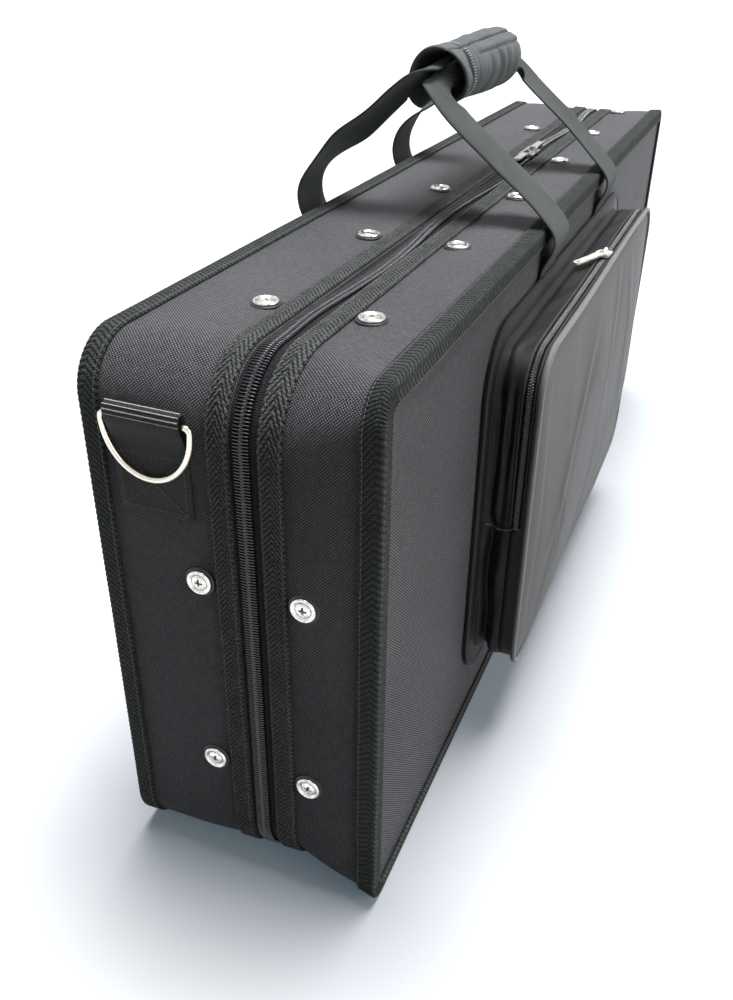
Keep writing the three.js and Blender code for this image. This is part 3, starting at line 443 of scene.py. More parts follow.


# The two colours are one black yarn, lit by a painted highlight and darkened by painted shade
nylon = nylon_finish("coarse_nylon", 0.00085, (0.270, 0.268, 0.284), (0.040, 0.039, 0.042))
for side, body, edge_y, guard in ((1, "base", base_edge_y, base_guard), (-1, "lid", lid_edge_y, lid_guard)):
    cover = case_tray(
        f"{body}_cover", cover_inset, side * base_face_y, edge_y, cover_wall, cover_edge_round,
        (wall_puff, face_puff), side * (half_depth - binding_on_wall), guard[1], nylon, body,
    )
    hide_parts(f"{body}_shell")

# Linings
# Dark grey foam with a brushed cloth face, glued into each shell as a tray of its own.
# It carries the board and its pedals, so its face is matt, with a short nap and faint pressure marks.

lining_inset = 0.0096
lining_wall = 0.004
floor_gap = 0.0003


def brushed_finish(name, colour):
    finish = Finish(name, 0.95, 0.1)
    nap = finish.noise(0.0009, 3.0)
    pressed = finish.patches(0.05, 2.0, 0.85, 1.1)
    finish.colour(finish.tint(colour, finish.times(finish.span(nap, 0.3, 0.7, 0.65, 1.25), pressed)))
    finish.bump(nap, 0.0008, 0.7)
    finish.sheen(0.5, 0.5, (0.8, 0.85, 0.9))
    return finish.material


brushed = brushed_finish("brushed_foam_cloth", (0.075, 0.077, 0.082))
for side, body, edge_y in ((1, "base", base_edge_y), (-1, "lid", lid_edge_y)):
    floor_y = side * (base_face_y - cover_wall - floor_gap)
    lining = case_tray(
        f"{body}_foam_tray", lining_inset, floor_y, edge_y, lining_wall, 0.001,
        (0.0, 0.0004), 0.0, 1.0, brushed, body,
    )
    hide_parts(f"{body}_lining")

# Strips behind the screws
# Flat black plastic strip bent round the ends, which spreads the screws' pull inside the shell.
# It is extruded, with a faint grain along it and a dull moulded shine.


def moulded_finish(name, colour, roughness=0.5):
    finish = Finish(name, roughness, 0.4)
    grain = finish.noise(0.0012, 2.0)
    finish.colour(finish.tint(colour, finish.span(grain, 0.2, 0.8, 0.85, 1.15)))
    finish.bump(grain, 0.0001, 0.5)
    return finish.material


strip_plastic = moulded_finish("black_strip_plastic", (0.03, 0.03, 0.031))
for body in ("base", "lid"):
    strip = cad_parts[f"{body}_stiffener"]
    strip.data.materials.clear()
    strip.data.materials.append(strip_plastic)

# Edge bindings and guard tapes
# Black herringbone tape: folded over the edge between the walls and each big face, and sewn flat beside the zip.
# Its twill ribs zigzag across, and a row of lockstitch in black thread runs just inside each edge.

tape_thickness = 0.0012
binding_on_face = 0.011
rib_pitch = case_line.length / round(case_line.length / 0.0033)
tape_cell = 0.0013
selvedge = 0.0007
tape_bevel = 0.0009
binding_round = 0.0016
pressed_below = 0.0004
stitch_pitch = 0.0026
stitch_length = 0.0021
stitch_thickness = 0.00055


def tape_finish(name, groove_shade, yarn_colour, rib, yarn=0.0006):
    """Twill tape: ribs a rib's pitch apart along it, each one built of short floating yarns, with painted shade in the
    hollows between them
    """
    finish = Finish(name, 0.62, 0.12)
    along, across = finish.cloth_places()
    rise = finish.maths("POWER", finish.ribs(along, rib), 0.8)
    over = finish.crossing(along, across, yarn * 1.1, yarn)
    floats = finish.span(over, -0.5, 0.5, 0.45, 1.0)
    worn, slubs = finish.patches(0.012, 3.0, 0.7, 1.15), finish.patches(0.0011, 1.0, 0.45, 1.45)
    # Rib backs and yarn floats lit, the hollows between them in painted shade, with random wear and slubs
    share = finish.times(rise, floats, worn, slubs)
    finish.colour(finish.mix(finish.span(share, 0.15, 1.0), groove_shade, yarn_colour))
    finish.bump(share, 0.0006, 1.0)
    finish.sheen(0.03, 0.5, (0.85, 0.95, 0.9))
    return finish.material


def path_lengths(points):
    """Distance along a list of points"""
    return np.concatenate([[0], np.cumsum(np.linalg.norm(np.diff(np.asarray(points, float), axis=0), axis=1))])


def path_places(places, walk, points):
    """Points at distances along a path; walk is what path_lengths says of it"""
    return np.stack([np.interp(places, walk, points[:, k]) for k in range(3)], 1)


def unit(vectors):
    return vectors / np.linalg.norm(vectors, axis=1)[:, None]


def pressed_flat(points, deeper=0.0):
    """Points with their relief pressed in under the case, where its weight lies on the tapes"""
    z = points[..., 2]
    pressed = pressed_below - 0.35 * (pressed_below - z) + deeper
    return np.concatenate([points[..., :2], np.where(z < pressed_below, pressed, z)[..., None]], -1)


def herringbone(name, top, legs, slant, rib_height, material, body, seed):
    """A ribbed tape round the case. top is its upper side as (out, y) points, legs the count of slanted runs of each
    rib across it and slant how far one leads along the tape. Rows of the mesh follow the ribs, four rows to a rib."""
    top = np.asarray(top)
    length = path_lengths(top)
    width = length[-1]
    folds = np.linspace(0.0008, width - 0.0008, legs + 1)
    marks = np.unique(np.round(np.concatenate([np.linspace(0, width, round(width / tape_cell)), folds, length]), 4))
    out, y = np.interp(marks, length, top[:, 0]), np.interp(marks, length, top[:, 1])
    run = unit(np.stack([np.gradient(out, marks), np.gradient(y, marks)], 1))
    lift = np.stack([run[:, 1], -run[:, 0]], 1)
    if lift[len(lift) // 3, 0] < 0:
        lift = -lift
    zigzag = np.interp(marks, folds, slant * (np.arange(len(folds)) % 2))
    raised = np.where((marks < selvedge) | (marks > width - selvedge), 0, 1.0)
    ribs = round(case_line.length / rib_pitch)
    s = np.arange(4 * ribs) / (4 * ribs) * case_line.length
    s = s[:, None] + zigzag[None, :]
    height = np.array([0, 0.8, 1, 0.8])[np.arange(len(s)) % 4][:, None] * raised * rib_height
    waver = 0.00022 * soft_wave(s, (0.233, 0.091, 0.051), seed) * np.abs(lift[:, 0])
    upper, _ = case_line.at(s, out + lift[:, 0] * height, y + lift[:, 1] * height + waver)
    upper = pressed_flat(upper)
    under_marks = np.array([0.0, 0.3, 0.5, 0.7, 1.0])[::-1] * width
    under_out = np.interp(under_marks, marks, out - lift[:, 0] * tape_thickness)
    under_y = np.interp(under_marks, marks, y - lift[:, 1] * tape_thickness)
    under, _ = case_line.at(s[:, :1] + 0 * under_out, under_out, under_y)
    across = np.concatenate([marks, 2 * width - under_marks, [2 * width]])
    return ring_piece(
        name, np.concatenate([upper, under], 1), s[:, 0], across, True, material=material, body=body)


def ring_piece(name, points, along, across, closed, **looks):
    """A closed body from rows of points, each row a closed loop; along and across are places on the cloth. The rows
    form a ring themselves, or end in two flat faces."""
    rows, columns = points.shape[:2]
    i, j = numbered(rows if closed else rows - 1, columns)
    after, beside = (i + 1) % rows, (j + 1) % columns
    quads = np.stack([i * columns + j, i * columns + beside, after * columns + beside, after * columns + j], 1)
    along = np.append(along, along[-1] + along[1] - along[0])
    u = np.stack([along[i], along[i], along[i + 1], along[i + 1]], 1)
    v = np.stack([across[j], across[j + 1], across[j + 1], across[j]], 1)
    ends = [] if closed else [list(range(columns))[::-1], [(rows - 1) * columns + k for k in range(columns)]]
    return closed_piece(name, points.reshape(-1, 3), quads, np.stack([u, v], -1), ends, **looks)


def repeated(name, shape, faces, places, along, across, up, ends=(), **looks):
    """Copies of one small closed shape at many places, joined in one mesh; shape holds (along, across, up) points and
    ends its larger faces"""
    shape = np.asarray(shape, float)
    points = places[:, None] + sum(shape[None, :, k:k + 1] * v[:, None] for k, v in enumerate((along, across, up)))
    starts = np.arange(len(places)) * len(shape)
    quads = (np.asarray(faces)[None] + starts[:, None, None]).reshape(-1, 4)
    ends = [start + np.asarray(end) for start in starts for end in ends]
    return closed_piece(name, points.reshape(-1, 3), quads, None, ends, **looks)


def tube_shape(path, radii, sides, flat=1.0):
    """A small closed tube along (across, up) points for repeated; flat is its thickness along the run of the copies"""
    run = unit(np.gradient(np.asarray(path, float), axis=0))
    points, faces = [], []
    for (across, up), (run_across, run_up), radius in zip(path, run, radii):
        for k in range(sides):
            angle = 2 * math.pi * (k + 0.5) / sides
            turn = radius * math.sin(angle)
            points.append((radius * flat * math.cos(angle), across - run_up * turn, up + run_across * turn))
    last = (len(path) - 1) * sides
    for start in range(0, last, sides):
        for k in range(sides):
            after = (k + 1) % sides
            faces.append((start + k, start + after, start + sides + after, start + sides + k))
    for k in range(1, sides - 2, 2):
        faces.append((k + 2, k + 1, k, 0))
        faces.append((last, last + k, last + k + 1, last + k + 2))
    return points, faces


def stitch_shape(length, thickness):
    """One stitch: a short thread that dives into the cloth at both ends"""
    points, faces = tube_shape(
        [(share * length / 2, rise * thickness / 2) for share, rise in
         ((-1, -0.8), (-0.7, 0.1), (0, 0.3), (0.7, 0.1), (1, -0.8))],
        [thickness / 2 * r for r in (0.5, 0.95, 1, 0.95, 0.5)], 4,
    )
    return [(across, along, up) for along, across, up in points], faces


def sewn(name, lines, material, body, pitch=stitch_pitch, length=stitch_length, thickness=stitch_thickness):
    """Stitches along lines; each line is its points and the cloth's direction up there"""
    places, runs, sides, ups = [], [], [], []
    for points, up in lines:
        points, up = np.asarray(points, float), np.asarray(up, float)
        walk = path_lengths(points)
        middles = np.arange(pitch / 2, walk[-1] - pitch / 4, pitch)
        run = unit(path_places(middles + 0.0005, walk, points) - path_places(middles - 0.0005, walk, points))
        side = unit(np.cross(path_places(middles, walk, np.broadcast_to(up, points.shape)), run))
        places.append(path_places(middles, walk, points))
        runs.append(run)
        sides.append(side)
        ups.append(np.cross(run, side))
    shape, faces = stitch_shape(length, thickness)
    joined = [np.concatenate(part) for part in (places, runs, sides, ups)]
    return repeated(name, shape, faces, *joined, material=material, body=body)


def thread_finish(name, colour):
    finish = Finish(name, 0.5, 0.4)
    finish.colour(finish.tint(colour, finish.patches(0.0005, 1.0, 0.8, 1.25)))
    return finish.material


# The first colour of each tape is the painted shade in the hollows between its ribs
herringbone_tape = tape_finish("herringbone_tape", (0.007, 0.007, 0.007), (0.228, 0.237, 0.231), rib_pitch)
folded_tape = tape_finish("folded_tape", (0.005, 0.006, 0.006), (0.122, 0.134, 0.127), rib_pitch)
black_thread = thread_finish("black_thread", (0.13, 0.132, 0.13))
for side, body, guard in ((1, "base", base_guard), (-1, "lid", lid_guard)):
    face_y = side * half_depth
    wall_y = side * (half_depth - binding_on_wall)
    folded = [(-0.0004, wall_y), (0.0, wall_y + side * 0.001)]
    for angle in range(0, 91, 15):
        turn = math.radians(angle)
        folded.append((-binding_round * (1 - math.cos(turn)), face_y - side * binding_round * (1 - math.sin(turn))))
    folded += [(-binding_on_face + 0.001, face_y), (-binding_on_face, face_y - side * 0.0004)]
    binding = herringbone(f"{body}_folded_binding", folded, 3, 0.0050, 0.0003, folded_tape, body, 1.0 + side)
    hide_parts(f"{body}_edge_binding")
    inner, outer = guard
    step = math.copysign(tape_bevel, outer - inner)
    flat_top = [(-0.0005, inner), (0.0, inner + step), (0.0, outer - step), (-0.0005, outer)]
    tape = herringbone(f"{body}_flat_tape", flat_top, 2, 0.0075, 0.0005, herringbone_tape, body, 3.0 + side)
    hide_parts(f"{body}_guard_tape")
    lines = []
    s = np.linspace(0, case_line.length, 900)
    for k, (out, y) in enumerate((
        (0.0002, inner + step * 1.5), (0.0002, outer - step * 1.5), (0.0002, wall_y + side * 0.0016),
    )):
        points, up = case_line.at(s, out, y + 0.00015 * soft_wave(s, (0.11, 0.043), k + 2.2))
        lines.append((pressed_flat(points, 0.0002), up))
    points, _ = case_line.at(s, -binding_on_face + 0.0016, face_y + side * 0.0002)
    lines.append((points, (0, side, 0)))
    stitches = sewn(f"{body}_tape_stitches", lines, black_thread, body)

# Main zip
# A coarse nylon coil zip over the top and down both ends: two woven tapes, and on each a coil bent from thick
# monofilament, whose turns hook between those of the other side. The coil stands up a little from its sewn tapes.

zip_tape_top = -0.0022
zip_tape_under = -0.0030
zip_start = 0.3183
coil_half = 0.00425
coil_top = -0.0003
tooth_pitch = 0.0016
tooth_radius = 0.00052
tooth_flat = 0.64
slider_x = 0.097
wave_height = 0.0028
wave_length = 0.235
wave_offset = -0.0008


def smooth_step(value, low, high):
    share = np.clip((value - low) / (high - low), 0, 1)
    return share * share * (3 - 2 * share)


def bell(value, middle, width):
    return np.exp(-((value - middle) / width) ** 2)


def zip_wave(s):
    """How far the zip wanders sideways along the top, between its guard tapes; it lies straight at the sliders"""
    x = case_line.at(s, 0.0, 0.0)[0][..., 0]
    on_top = smooth_step(s, case_line.ends[3], case_line.ends[3] + 0.05) * (
        1 - smooth_step(s, case_line.ends[4] - 0.05, case_line.ends[4]))
    wave = wave_height * np.sin(2 * math.pi * (x + half_length) / wave_length + 0.35) + wave_offset
    return wave * on_top * (1 - bell(x, slider_x, 0.045))


def coil_row(name, outline, start, end, y, top, half, pitch, radius, flat, side, shift, material, body):
    """One side's turns of a zip coil along an outline; side is +1 or -1 for the side of the zip's middle in y"""
    fine = np.linspace(start, end, 4000)
    walk = path_lengths(outline.at(fine, 0.0, 0.0)[0])
    s = np.interp(np.arange(pitch * (0.5 + shift), walk[-1] - pitch / 2, pitch), walk, fine)
    places, up = outline.at(s, 0.0, y if np.isscalar(y) else np.interp(s, *y))
    along = np.stack([up[:, 2], 0 * s, -up[:, 0]], 1)
    across = np.broadcast_to(np.array([0.0, side, 0.0]), places.shape)
    low = top - 2.6 * radius
    path = [
        (half - radius, low - radius), (half - 0.6 * radius, low + radius), (half - 1.8 * radius, top - radius),
        (half * 0.5, top - 0.8 * radius), (0.0006, top - 0.9 * radius), (-0.0004, top - 1.2 * radius),
        (-0.0011, top - 2.2 * radius), (-0.0009, low),
    ]
    radii = [radius * r for r in (0.8, 0.95, 1.0, 1.0, 1.0, 1.05, 0.95, 0.7)]
    shape, faces = tube_shape(path, radii, 6, flat=flat)
    return repeated(name, shape, faces, places, along, across, up, material=material, body=body)


def swept(name, outline, s, profile, wander=0.0, **looks):
    """A trim of one (out, y) profile along an outline; the inner points of the profile may wander sideways"""
    profile = np.asarray(profile)
    inner = np.abs(profile[:, 1] - profile[0, 1]) < 0.0055
    points, _ = outline.at(np.asarray(s)[:, None], profile[:, 0], profile[:, 1] + np.reshape(wander, (-1, 1)) * inner)
    return ring_piece(name, points, s, path_lengths(np.vstack([profile, profile[:1]])), False, **looks)


def coil_finish(name, colour):
    finish = Finish(name, 0.22, 0.9)
    worn = finish.noise(0.004, 2.0)
    finish.colour(finish.tint(colour, finish.span(worn, 0.3, 0.7, 0.8, 1.3)))
    finish.feed(finish.shader.inputs["Roughness"], finish.span(worn, 0.3, 0.7, 0.16, 0.28))
    return finish.material


# The zip tape's first colour is painted shade in the hollows of its weave
zip_cloth = tape_finish("zip_tape", (0.009, 0.009, 0.010), (0.072, 0.073, 0.080), 0.0009, 0.0004)
coil_nylon = coil_finish("coil_monofilament", (0.030, 0.031, 0.036))
zip_end = case_line.length - zip_start
for side, body, edge_y in ((1, "base", base_edge_y), (-1, "lid", lid_edge_y)):
    inner_y, outer_y = zip_y + side * 0.0004, edge_y - side * 0.0003
    fold_y = zip_y + side * (coil_half + 0.0002)
    profile = [
        (zip_tape_under, inner_y), (zip_tape_top, inner_y), (zip_tape_top, fold_y),
        (zip_tape_top + 0.0003, fold_y + side * 0.0004), (zip_tape_top + 0.0001, outer_y),
        (zip_tape_under, outer_y),
    ]
    s = np.linspace(zip_start, zip_end, 700)
    wave = zip_wave(s)
    tape = swept(f"{body}_zip_tape", case_line, s, profile, wave, material=zip_cloth, body=body)
    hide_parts(f"{body}_zip_half")
    coil = coil_row(
        f"{body}_zip_coil", case_line, zip_start, zip_end, (s, zip_y + wave), coil_top, coil_half, tooth_pitch,
        tooth_radius, tooth_flat, side, 0.25 * side, coil_nylon, body,
    )
    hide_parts(f"{body}_zip_half")

# Fabric hinge
# A strip of the herringbone tape sewn to both shells under the case, where the zip ends, on which the lid folds.
# It is one strip in the real case and is parted along its fold here, so that each half goes with its shell.

hinge_reach = 0.318
hinge_under = (0.0015, 0.0027)
for side, body, edge_y in ((1, "base", base_edge_y), (-1, "lid", lid_edge_y)):
    inner_y, outer_y = zip_y + side * 0.00015, edge_y - side * 0.0003
    profile = [
        (-hinge_under[1], inner_y), (-hinge_under[1] + 0.0009, inner_y), (-hinge_under[0], inner_y + side * 0.0006),
        (-hinge_under[0], outer_y - side * 0.0003), (-hinge_under[0] - 0.0003, outer_y), (-hinge_under[1], outer_y),
    ]
    s = np.linspace(-hinge_reach, hinge_reach, 260)
    hinge = swept(f"{body}_hinge_strip", case_line, s, profile, material=herringbone_tape, body=body)
    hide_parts(f"{body}_hinge_tape")

# Screws
# Cross-head screws with chromed cup washers on black plastic washers, which hold the cloth and the board together.
# They are driven by hand, so every cross points another way.

screw_line = {"base": 0.0184, "lid": -0.03715}
top_count = 6
top_screws = [-0.31125 + 0.1305 * k for k in range(top_count)]
end_screws = [0.197, 0.080]
wall_seat = -0.0012


def chrome_finish(name, colour, roughness, dull, recess_shade_colour=None):
    """Bright plating with duller patches, darkened towards the last colour by painted shade in the recesses and gaps
    that the piece marks
    """
    finish = Finish(name, roughness, 0.5, 1.0)
    worn = finish.noise(0.0015, 4.0)
    fine = finish.noise(0.0004, 2.0)
    finish.feed(finish.shader.inputs["Roughness"], finish.span(worn, 0.35, 0.7, roughness * 0.7, roughness * 1.8))
    plated = finish.tint(colour, finish.span(worn, 0.3, 0.62, dull, 1.05))
    if recess_shade_colour:
        groove_shade = finish.node("ShaderNodeAttribute", attribute_name="groove_shade").outputs["Fac"]
        plated = finish.mix(groove_shade, plated, recess_shade_colour)
    finish.colour(plated)
    finish.bump(fine, 0.00003, 0.25)
    return finish.material


def turned_shape(rings, around, cross=None):
    """A round closed shape from (radius, height) rings, from the middle of its top out and round to the middle of its
    underside, with a cross recess pressed into the top"""
    angle = 2 * math.pi * np.arange(around) / around
    points, grooves = [], []
    for radius, height in rings:
        x, y = radius * np.cos(angle), radius * np.sin(angle)
        drop = 0 * angle
        if cross and radius < cross[1] * 1.3:
            narrow, long_way = np.minimum(np.abs(x), np.abs(y)), np.maximum(np.abs(x), np.abs(y))
            arm = 1 - smooth_step(narrow, cross[0] * 0.75, cross[0] * 1.25)
            reach = 1 - smooth_step(long_way, cross[1] * 0.55, cross[1] * 1.05)
            drop = cross[2] * arm * reach
        points.append(np.stack([x, y, height - drop], 1))
        # Each ring's share of painted shade, deepest in the cross recess
        grooves.append(np.clip(1.2 * drop / cross[2] if cross else drop, 0, 1))
    # More painted shade round the head's lower rim, which sits in the cup, and round the inner edge of a cup or washer
    if cross:
        grooves[-3:] = [grooves[-3] + 0.9] * 3
    else:
        grooves[0] = grooves[0] + 0.8
    points = np.concatenate(points)
    rows = len(rings)
    i, j = numbered(rows - 1, around)
    beside = (j + 1) % around
    quads = np.stack([i * around + j, i * around + beside, (i + 1) * around + beside, (i + 1) * around + j], 1)
    ends = [list(range(around)), [(rows - 1) * around + k for k in range(around)][::-1]]
    return points, quads, ends, np.concatenate(grooves)


def planted(name, shape, places, outs, turns, **looks):
    """Copies of a turned shape stood on walls, each turned about its own axis"""
    points, quads, ends, grooves = shape
    side, cosine, sine = np.array([0.0, 1.0, 0.0]), np.cos(turns)[:, None], np.sin(turns)[:, None]
    other = np.cross(outs, side)
    first, second = side * cosine + other * sine, other * cosine - side * sine
    piece = repeated(name, points, quads, np.asarray(places), first, second, np.asarray(outs), ends, **looks)
    # The shares go on as a point attribute, which paints shade into the chrome
    values = piece.data.attributes.new("groove_shade", "FLOAT", "POINT")
    values.data.foreach_set("value", np.tile(grooves, len(places)).astype(np.float32))
    return piece


# Radius and height above the wall round each turned part
washer_rings = [(0.0030, 0.0012), (0.0072, 0.00125), (0.0079, 0.0011), (0.0082, 0.0007), (0.0082, 0.0002),
                (0.0080, 0.0), (0.0030, 0.0)]
cup_rings = [(0.0038, 0.0019), (0.0046, 0.00215), (0.0051, 0.0026), (0.0056, 0.00285), (0.0061, 0.0028),
             (0.0065, 0.0025), (0.0067, 0.0020), (0.0068, 0.0013), (0.0066, 0.0012), (0.0038, 0.0012)]
head_rings = [(0.0001, 0.0031)] + [
    (r, 0.0031 - 0.0010 * (r / 0.0041) ** 2.4) for r in np.linspace(0.00025, 0.0040, 16)
] + [(0.0042, 0.0017), (0.0041, 0.0013), (0.0001, 0.0013)]
washer_shape = turned_shape(washer_rings, 40)
cup_shape = turned_shape(cup_rings, 48)
head_shape = turned_shape(head_rings, 48, cross=(0.00055, 0.0024, 0.0011))
washer_plastic = moulded_finish("washer_plastic", (0.02, 0.021, 0.021), 0.42)
# Its last colour is the painted shade in the recesses and round the head
bright_steel = chrome_finish("bright_steel", (0.80, 0.78, 0.74), 0.16, 0.62, (0.06, 0.055, 0.05))
rng = np.random.default_rng(7)
for body in ("base", "lid"):
    y = screw_line[body]
    places = [(x, y, case_height + wall_seat) for x in top_screws]
    places += [(sign * (half_length + wall_seat), y, z) for sign in (-1, 1) for z in end_screws]
    outs = [(0, 0, 1)] * top_count + [(-1, 0, 0)] * 2 + [(1, 0, 0)] * 2
    nodes = [f"{body}_top_screw_{k + 1}" for k in range(top_count)]
    nodes += [f"{body}_{end}_screw_{k + 1}" for end in ("near", "far") for k in range(2)]
    turns = rng.uniform(0, math.pi / 2, len(places))
    for label, shape, material in (
        ("washers", washer_shape, washer_plastic), ("cups", cup_shape, bright_steel),
        ("screws", head_shape, bright_steel),
    ):
        piece = planted(f"{body}_{label}", shape, places, outs, turns, material=material, body=body)
        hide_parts(*nodes)

# D rings and their holders
# A welded ring of plated steel wire hangs in a fold of webbing at each end, for a shoulder strap.
# The webbing stands over the bar and is sewn down below in a box; rows of pale thread across its fold are a painted
# highlight on its ribs.

ring_y = 0.038
ring_top_z = 0.281
ring_wire = 0.00155
ring_half = 0.0249 - ring_wire
ring_corner = 0.0026
ring_drop = 0.03025
ring_bar_out = 0.0025
holder_width = 0.040
fold_height = 0.0032
fold_round = 0.0029
holder_foot_z = 0.231
# Out from the wall and height, up the front of the holder and down behind it, and its box seam
holder_rise = [(0.0, holder_foot_z), (0.0, 0.240), (0.0, 0.252), (0.0002, 0.262), (0.0009, 0.268), (0.0026, 0.2735),
               (0.0046, 0.2775), (0.0056, 0.2815)]
holder_back = [(-0.0006, 0.2785), (-0.0008, 0.270), (-0.0008, 0.255), (-0.0008, holder_foot_z)]
holder_box = [(-0.017, 0.2335), (-0.017, 0.262), (0.017, 0.262), (0.017, 0.2335)]
rib_half = 0.0195


def pipe(name, path, radius, sides, closed, **looks):
    """A round wire or cord along a path"""
    path = np.asarray(path, float)
    run = unit(np.roll(path, -1, 0) - np.roll(path, 1, 0) if closed else np.gradient(path, axis=0))
    side = np.cross(run[0], (0.3, 0.9, 0.2))
    frames = []
    for k in range(len(path)):
        side = side - run[k] * np.dot(side, run[k])
        side /= np.linalg.norm(side)
        frames.append((side, np.cross(run[k], side)))
    frames = np.asarray(frames)
    twist = np.zeros(len(path))
    if closed:
        end = frames[-1, 0] - run[0] * np.dot(frames[-1, 0], run[0])
        slip = math.atan2(np.dot(end, frames[0, 1]), np.dot(end, frames[0, 0]))
        twist = -slip * np.arange(len(path)) / len(path)
    turn = 2 * math.pi * np.arange(sides)[None, :] / sides + twist[:, None]
    points = path[:, None] + radius * (
        np.cos(turn)[..., None] * frames[:, None, 0] + np.sin(turn)[..., None] * frames[:, None, 1]
    )
    return ring_piece(
        name, points, path_lengths(path), np.arange(sides + 1) / sides * 2 * math.pi * radius, closed, **looks
    )


def band(name, centres, across, thickness, width, curl=0.0, columns=14, **looks):
    """A strip of webbing. across points over its width; curl is the half angle to which the strip is bowed there"""
    centres, across = np.asarray(centres, float), np.asarray(across, float)
    run = unit(np.gradient(centres, axis=0))
    across = unit(across - run * np.einsum("ij,ij->i", run, across)[:, None])
    normal = np.cross(run, across)
    width, thickness, curl = (
        np.broadcast_to(value, (len(centres),))[:, None] for value in (width, thickness, curl))
    inner = np.linspace(-1, 1, columns + 1)
    inner = np.sign(inner) * np.abs(inner) ** 0.75
    v = np.concatenate([[-1.0, -0.985], inner[1:-1] * 0.955, [0.985, 1.0]])
    edge = 1 - np.clip((np.abs(v) - 0.94) / 0.06, 0, 1) ** 2
    half = np.sqrt(np.clip(edge, 0, 1)) * 0.5 + 0.02
    bend = np.where(np.abs(curl) < 1e-3, 1e-3, curl)
    radius = width / (2 * bend)
    place = radius * np.sin(bend * v)
    sag = radius * (1 - np.cos(bend * v))
    tilt_out, tilt_up = -np.sin(bend * v), np.cos(bend * v)
    sheets = []
    for sign in (1, -1):
        a = place + sign * thickness * half * tilt_out
        b = sag + sign * thickness * half * tilt_up
        sheet = centres[:, None] + a[..., None] * across[:, None] + b[..., None] * normal[:, None]
        sheets.append(sheet if sign > 0 else sheet[:, ::-1])
    points = np.concatenate(sheets, 1)
    w = (v + 1) / 2 * float(np.max(width))
    places = np.concatenate([w, 2 * w[-1] - w[::-1], [2 * w[-1]]])
    return ring_piece(name, points, path_lengths(centres), places, False, **looks)


def webbing_finish(name, groove_shade, yarn, pitch=0.0011):
    finish = Finish(name, 0.7, 0.25)
    along, across = finish.cloth_places()
    over = finish.crossing(along, across, pitch * 0.75, pitch)
    rib = finish.ribs(across, 0.0031)
    # Yarn tops and rib backs lit, the hollows between them in painted shade, with random tone
    lift = finish.times(finish.lift(over), finish.span(rib, 0.0, 0.6, 0.45, 1.0))
    finish.colour(finish.tint(finish.mix(lift, groove_shade, yarn), finish.patches(0.02, 4.0, 0.86, 1.14)))
    finish.bump(lift, 0.00022, 0.8)
    finish.sheen(0.12, 0.5, (0.85, 0.95, 0.92))
    return finish.material


# The first colour of each webbing is painted shade in its hollows
webbing = webbing_finish("black_webbing", (0.022, 0.025, 0.024), (0.100, 0.111, 0.107))
holder_webbing = webbing_finish("holder_webbing", (0.006, 0.006, 0.006), (0.034, 0.034, 0.031))
holder_thread = thread_finish("holder_thread", (0.09, 0.09, 0.088))
# Pale thread for the painted highlight on the holder's ribs
rib_highlight_thread = thread_finish("rib_highlight_thread", (0.52, 0.53, 0.53))
ring_steel = chrome_finish("ring_steel", (0.74, 0.68, 0.60), 0.16, 0.9)
for side, end in ((-1, "near"), (1, "far")):
    ring_path = []
    for across in (-1, 1):
        for k in range(9):
            turn = (math.pi if across < 0 else math.pi / 2) - k / 8 * math.pi / 2
            ring_path.append((
                ring_y + across * (ring_half - ring_corner) + ring_corner * math.cos(turn),
                ring_top_z - ring_corner + ring_corner * math.sin(turn),
            ))
    for k in range(1, 64):
        angle = -math.pi * k / 64
        ring_path.append((
            ring_y + ring_half * math.cos(angle),
            ring_top_z - ring_corner + (ring_drop - ring_corner) * math.sin(angle),
        ))
    ring_x = side * (half_length + ring_bar_out)
    ring = pipe(
        f"{end}_ring_wire", [(ring_x, y, z) for y, z in ring_path], ring_wire, 18, True,
        material=ring_steel, body=f"{end}_ring",
    )
    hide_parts(f"{end}_d_ring")
    fold = [(ring_bar_out + fold_round * math.cos(turn), ring_top_z + fold_height + fold_round * math.sin(turn))
            for turn in map(math.radians, range(0, 181, 20))]
    path = holder_rise + fold + holder_back
    length = path_lengths(path)
    fine = np.linspace(0, length[-1], 90)
    out = np.interp(fine, length, [p[0] for p in path])
    z = np.interp(fine, length, [p[1] for p in path])
    centres = np.stack([side * (half_length + out), ring_y + 0 * out, z], 1)
    thickness = np.interp(fine, length, [0.0008] * 5 + [0.0011] * 13 + [0.0008] * 4)
    holder = band(
        f"{end}_ring_holder", centres, np.tile((0.0, 1.0, 0.0), (len(fine), 1)), thickness, holder_width,
        material=holder_webbing, body="base",
    )
    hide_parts(f"{end}_d_ring_loop")
    box = [(side * (half_length + 0.0005), ring_y + y, z) for y, z in holder_box]
    lines = [([box[a], box[b]], (side, 0, 0)) for a, b in ((0, 1), (1, 2), (2, 3), (3, 0), (0, 2), (1, 3))]
    stitches = sewn(f"{end}_holder_stitches", lines, holder_thread, "base")
    # Rows of pale thread across the fold: a painted highlight on the webbing's ribs
    lines = []
    for angle, lower in ((80, 0), (42, 0), (4, 0), (0, 0.0021)):
        turn = math.radians(angle)
        out = ring_bar_out + (fold_round + 0.0006) * math.cos(turn)
        z = ring_top_z + fold_height + (fold_round + 0.0006) * math.sin(turn) - lower
        up = (side * math.cos(turn), 0, math.sin(turn))
        lines.append(([(side * (half_length + out), ring_y + y, z) for y in (-rib_half, rib_half)], up))
    ribs = sewn(f"{end}_holder_rib_highlights", lines, rib_highlight_thread, "base", 0.00115, 0.0011, 0.0007)

# Straps and handle loops
# One length of flat webbing per side is sewn up the big face, bends over the case edge, rises to the grip, twists and
# curls into its end, runs through and comes back down the same way.

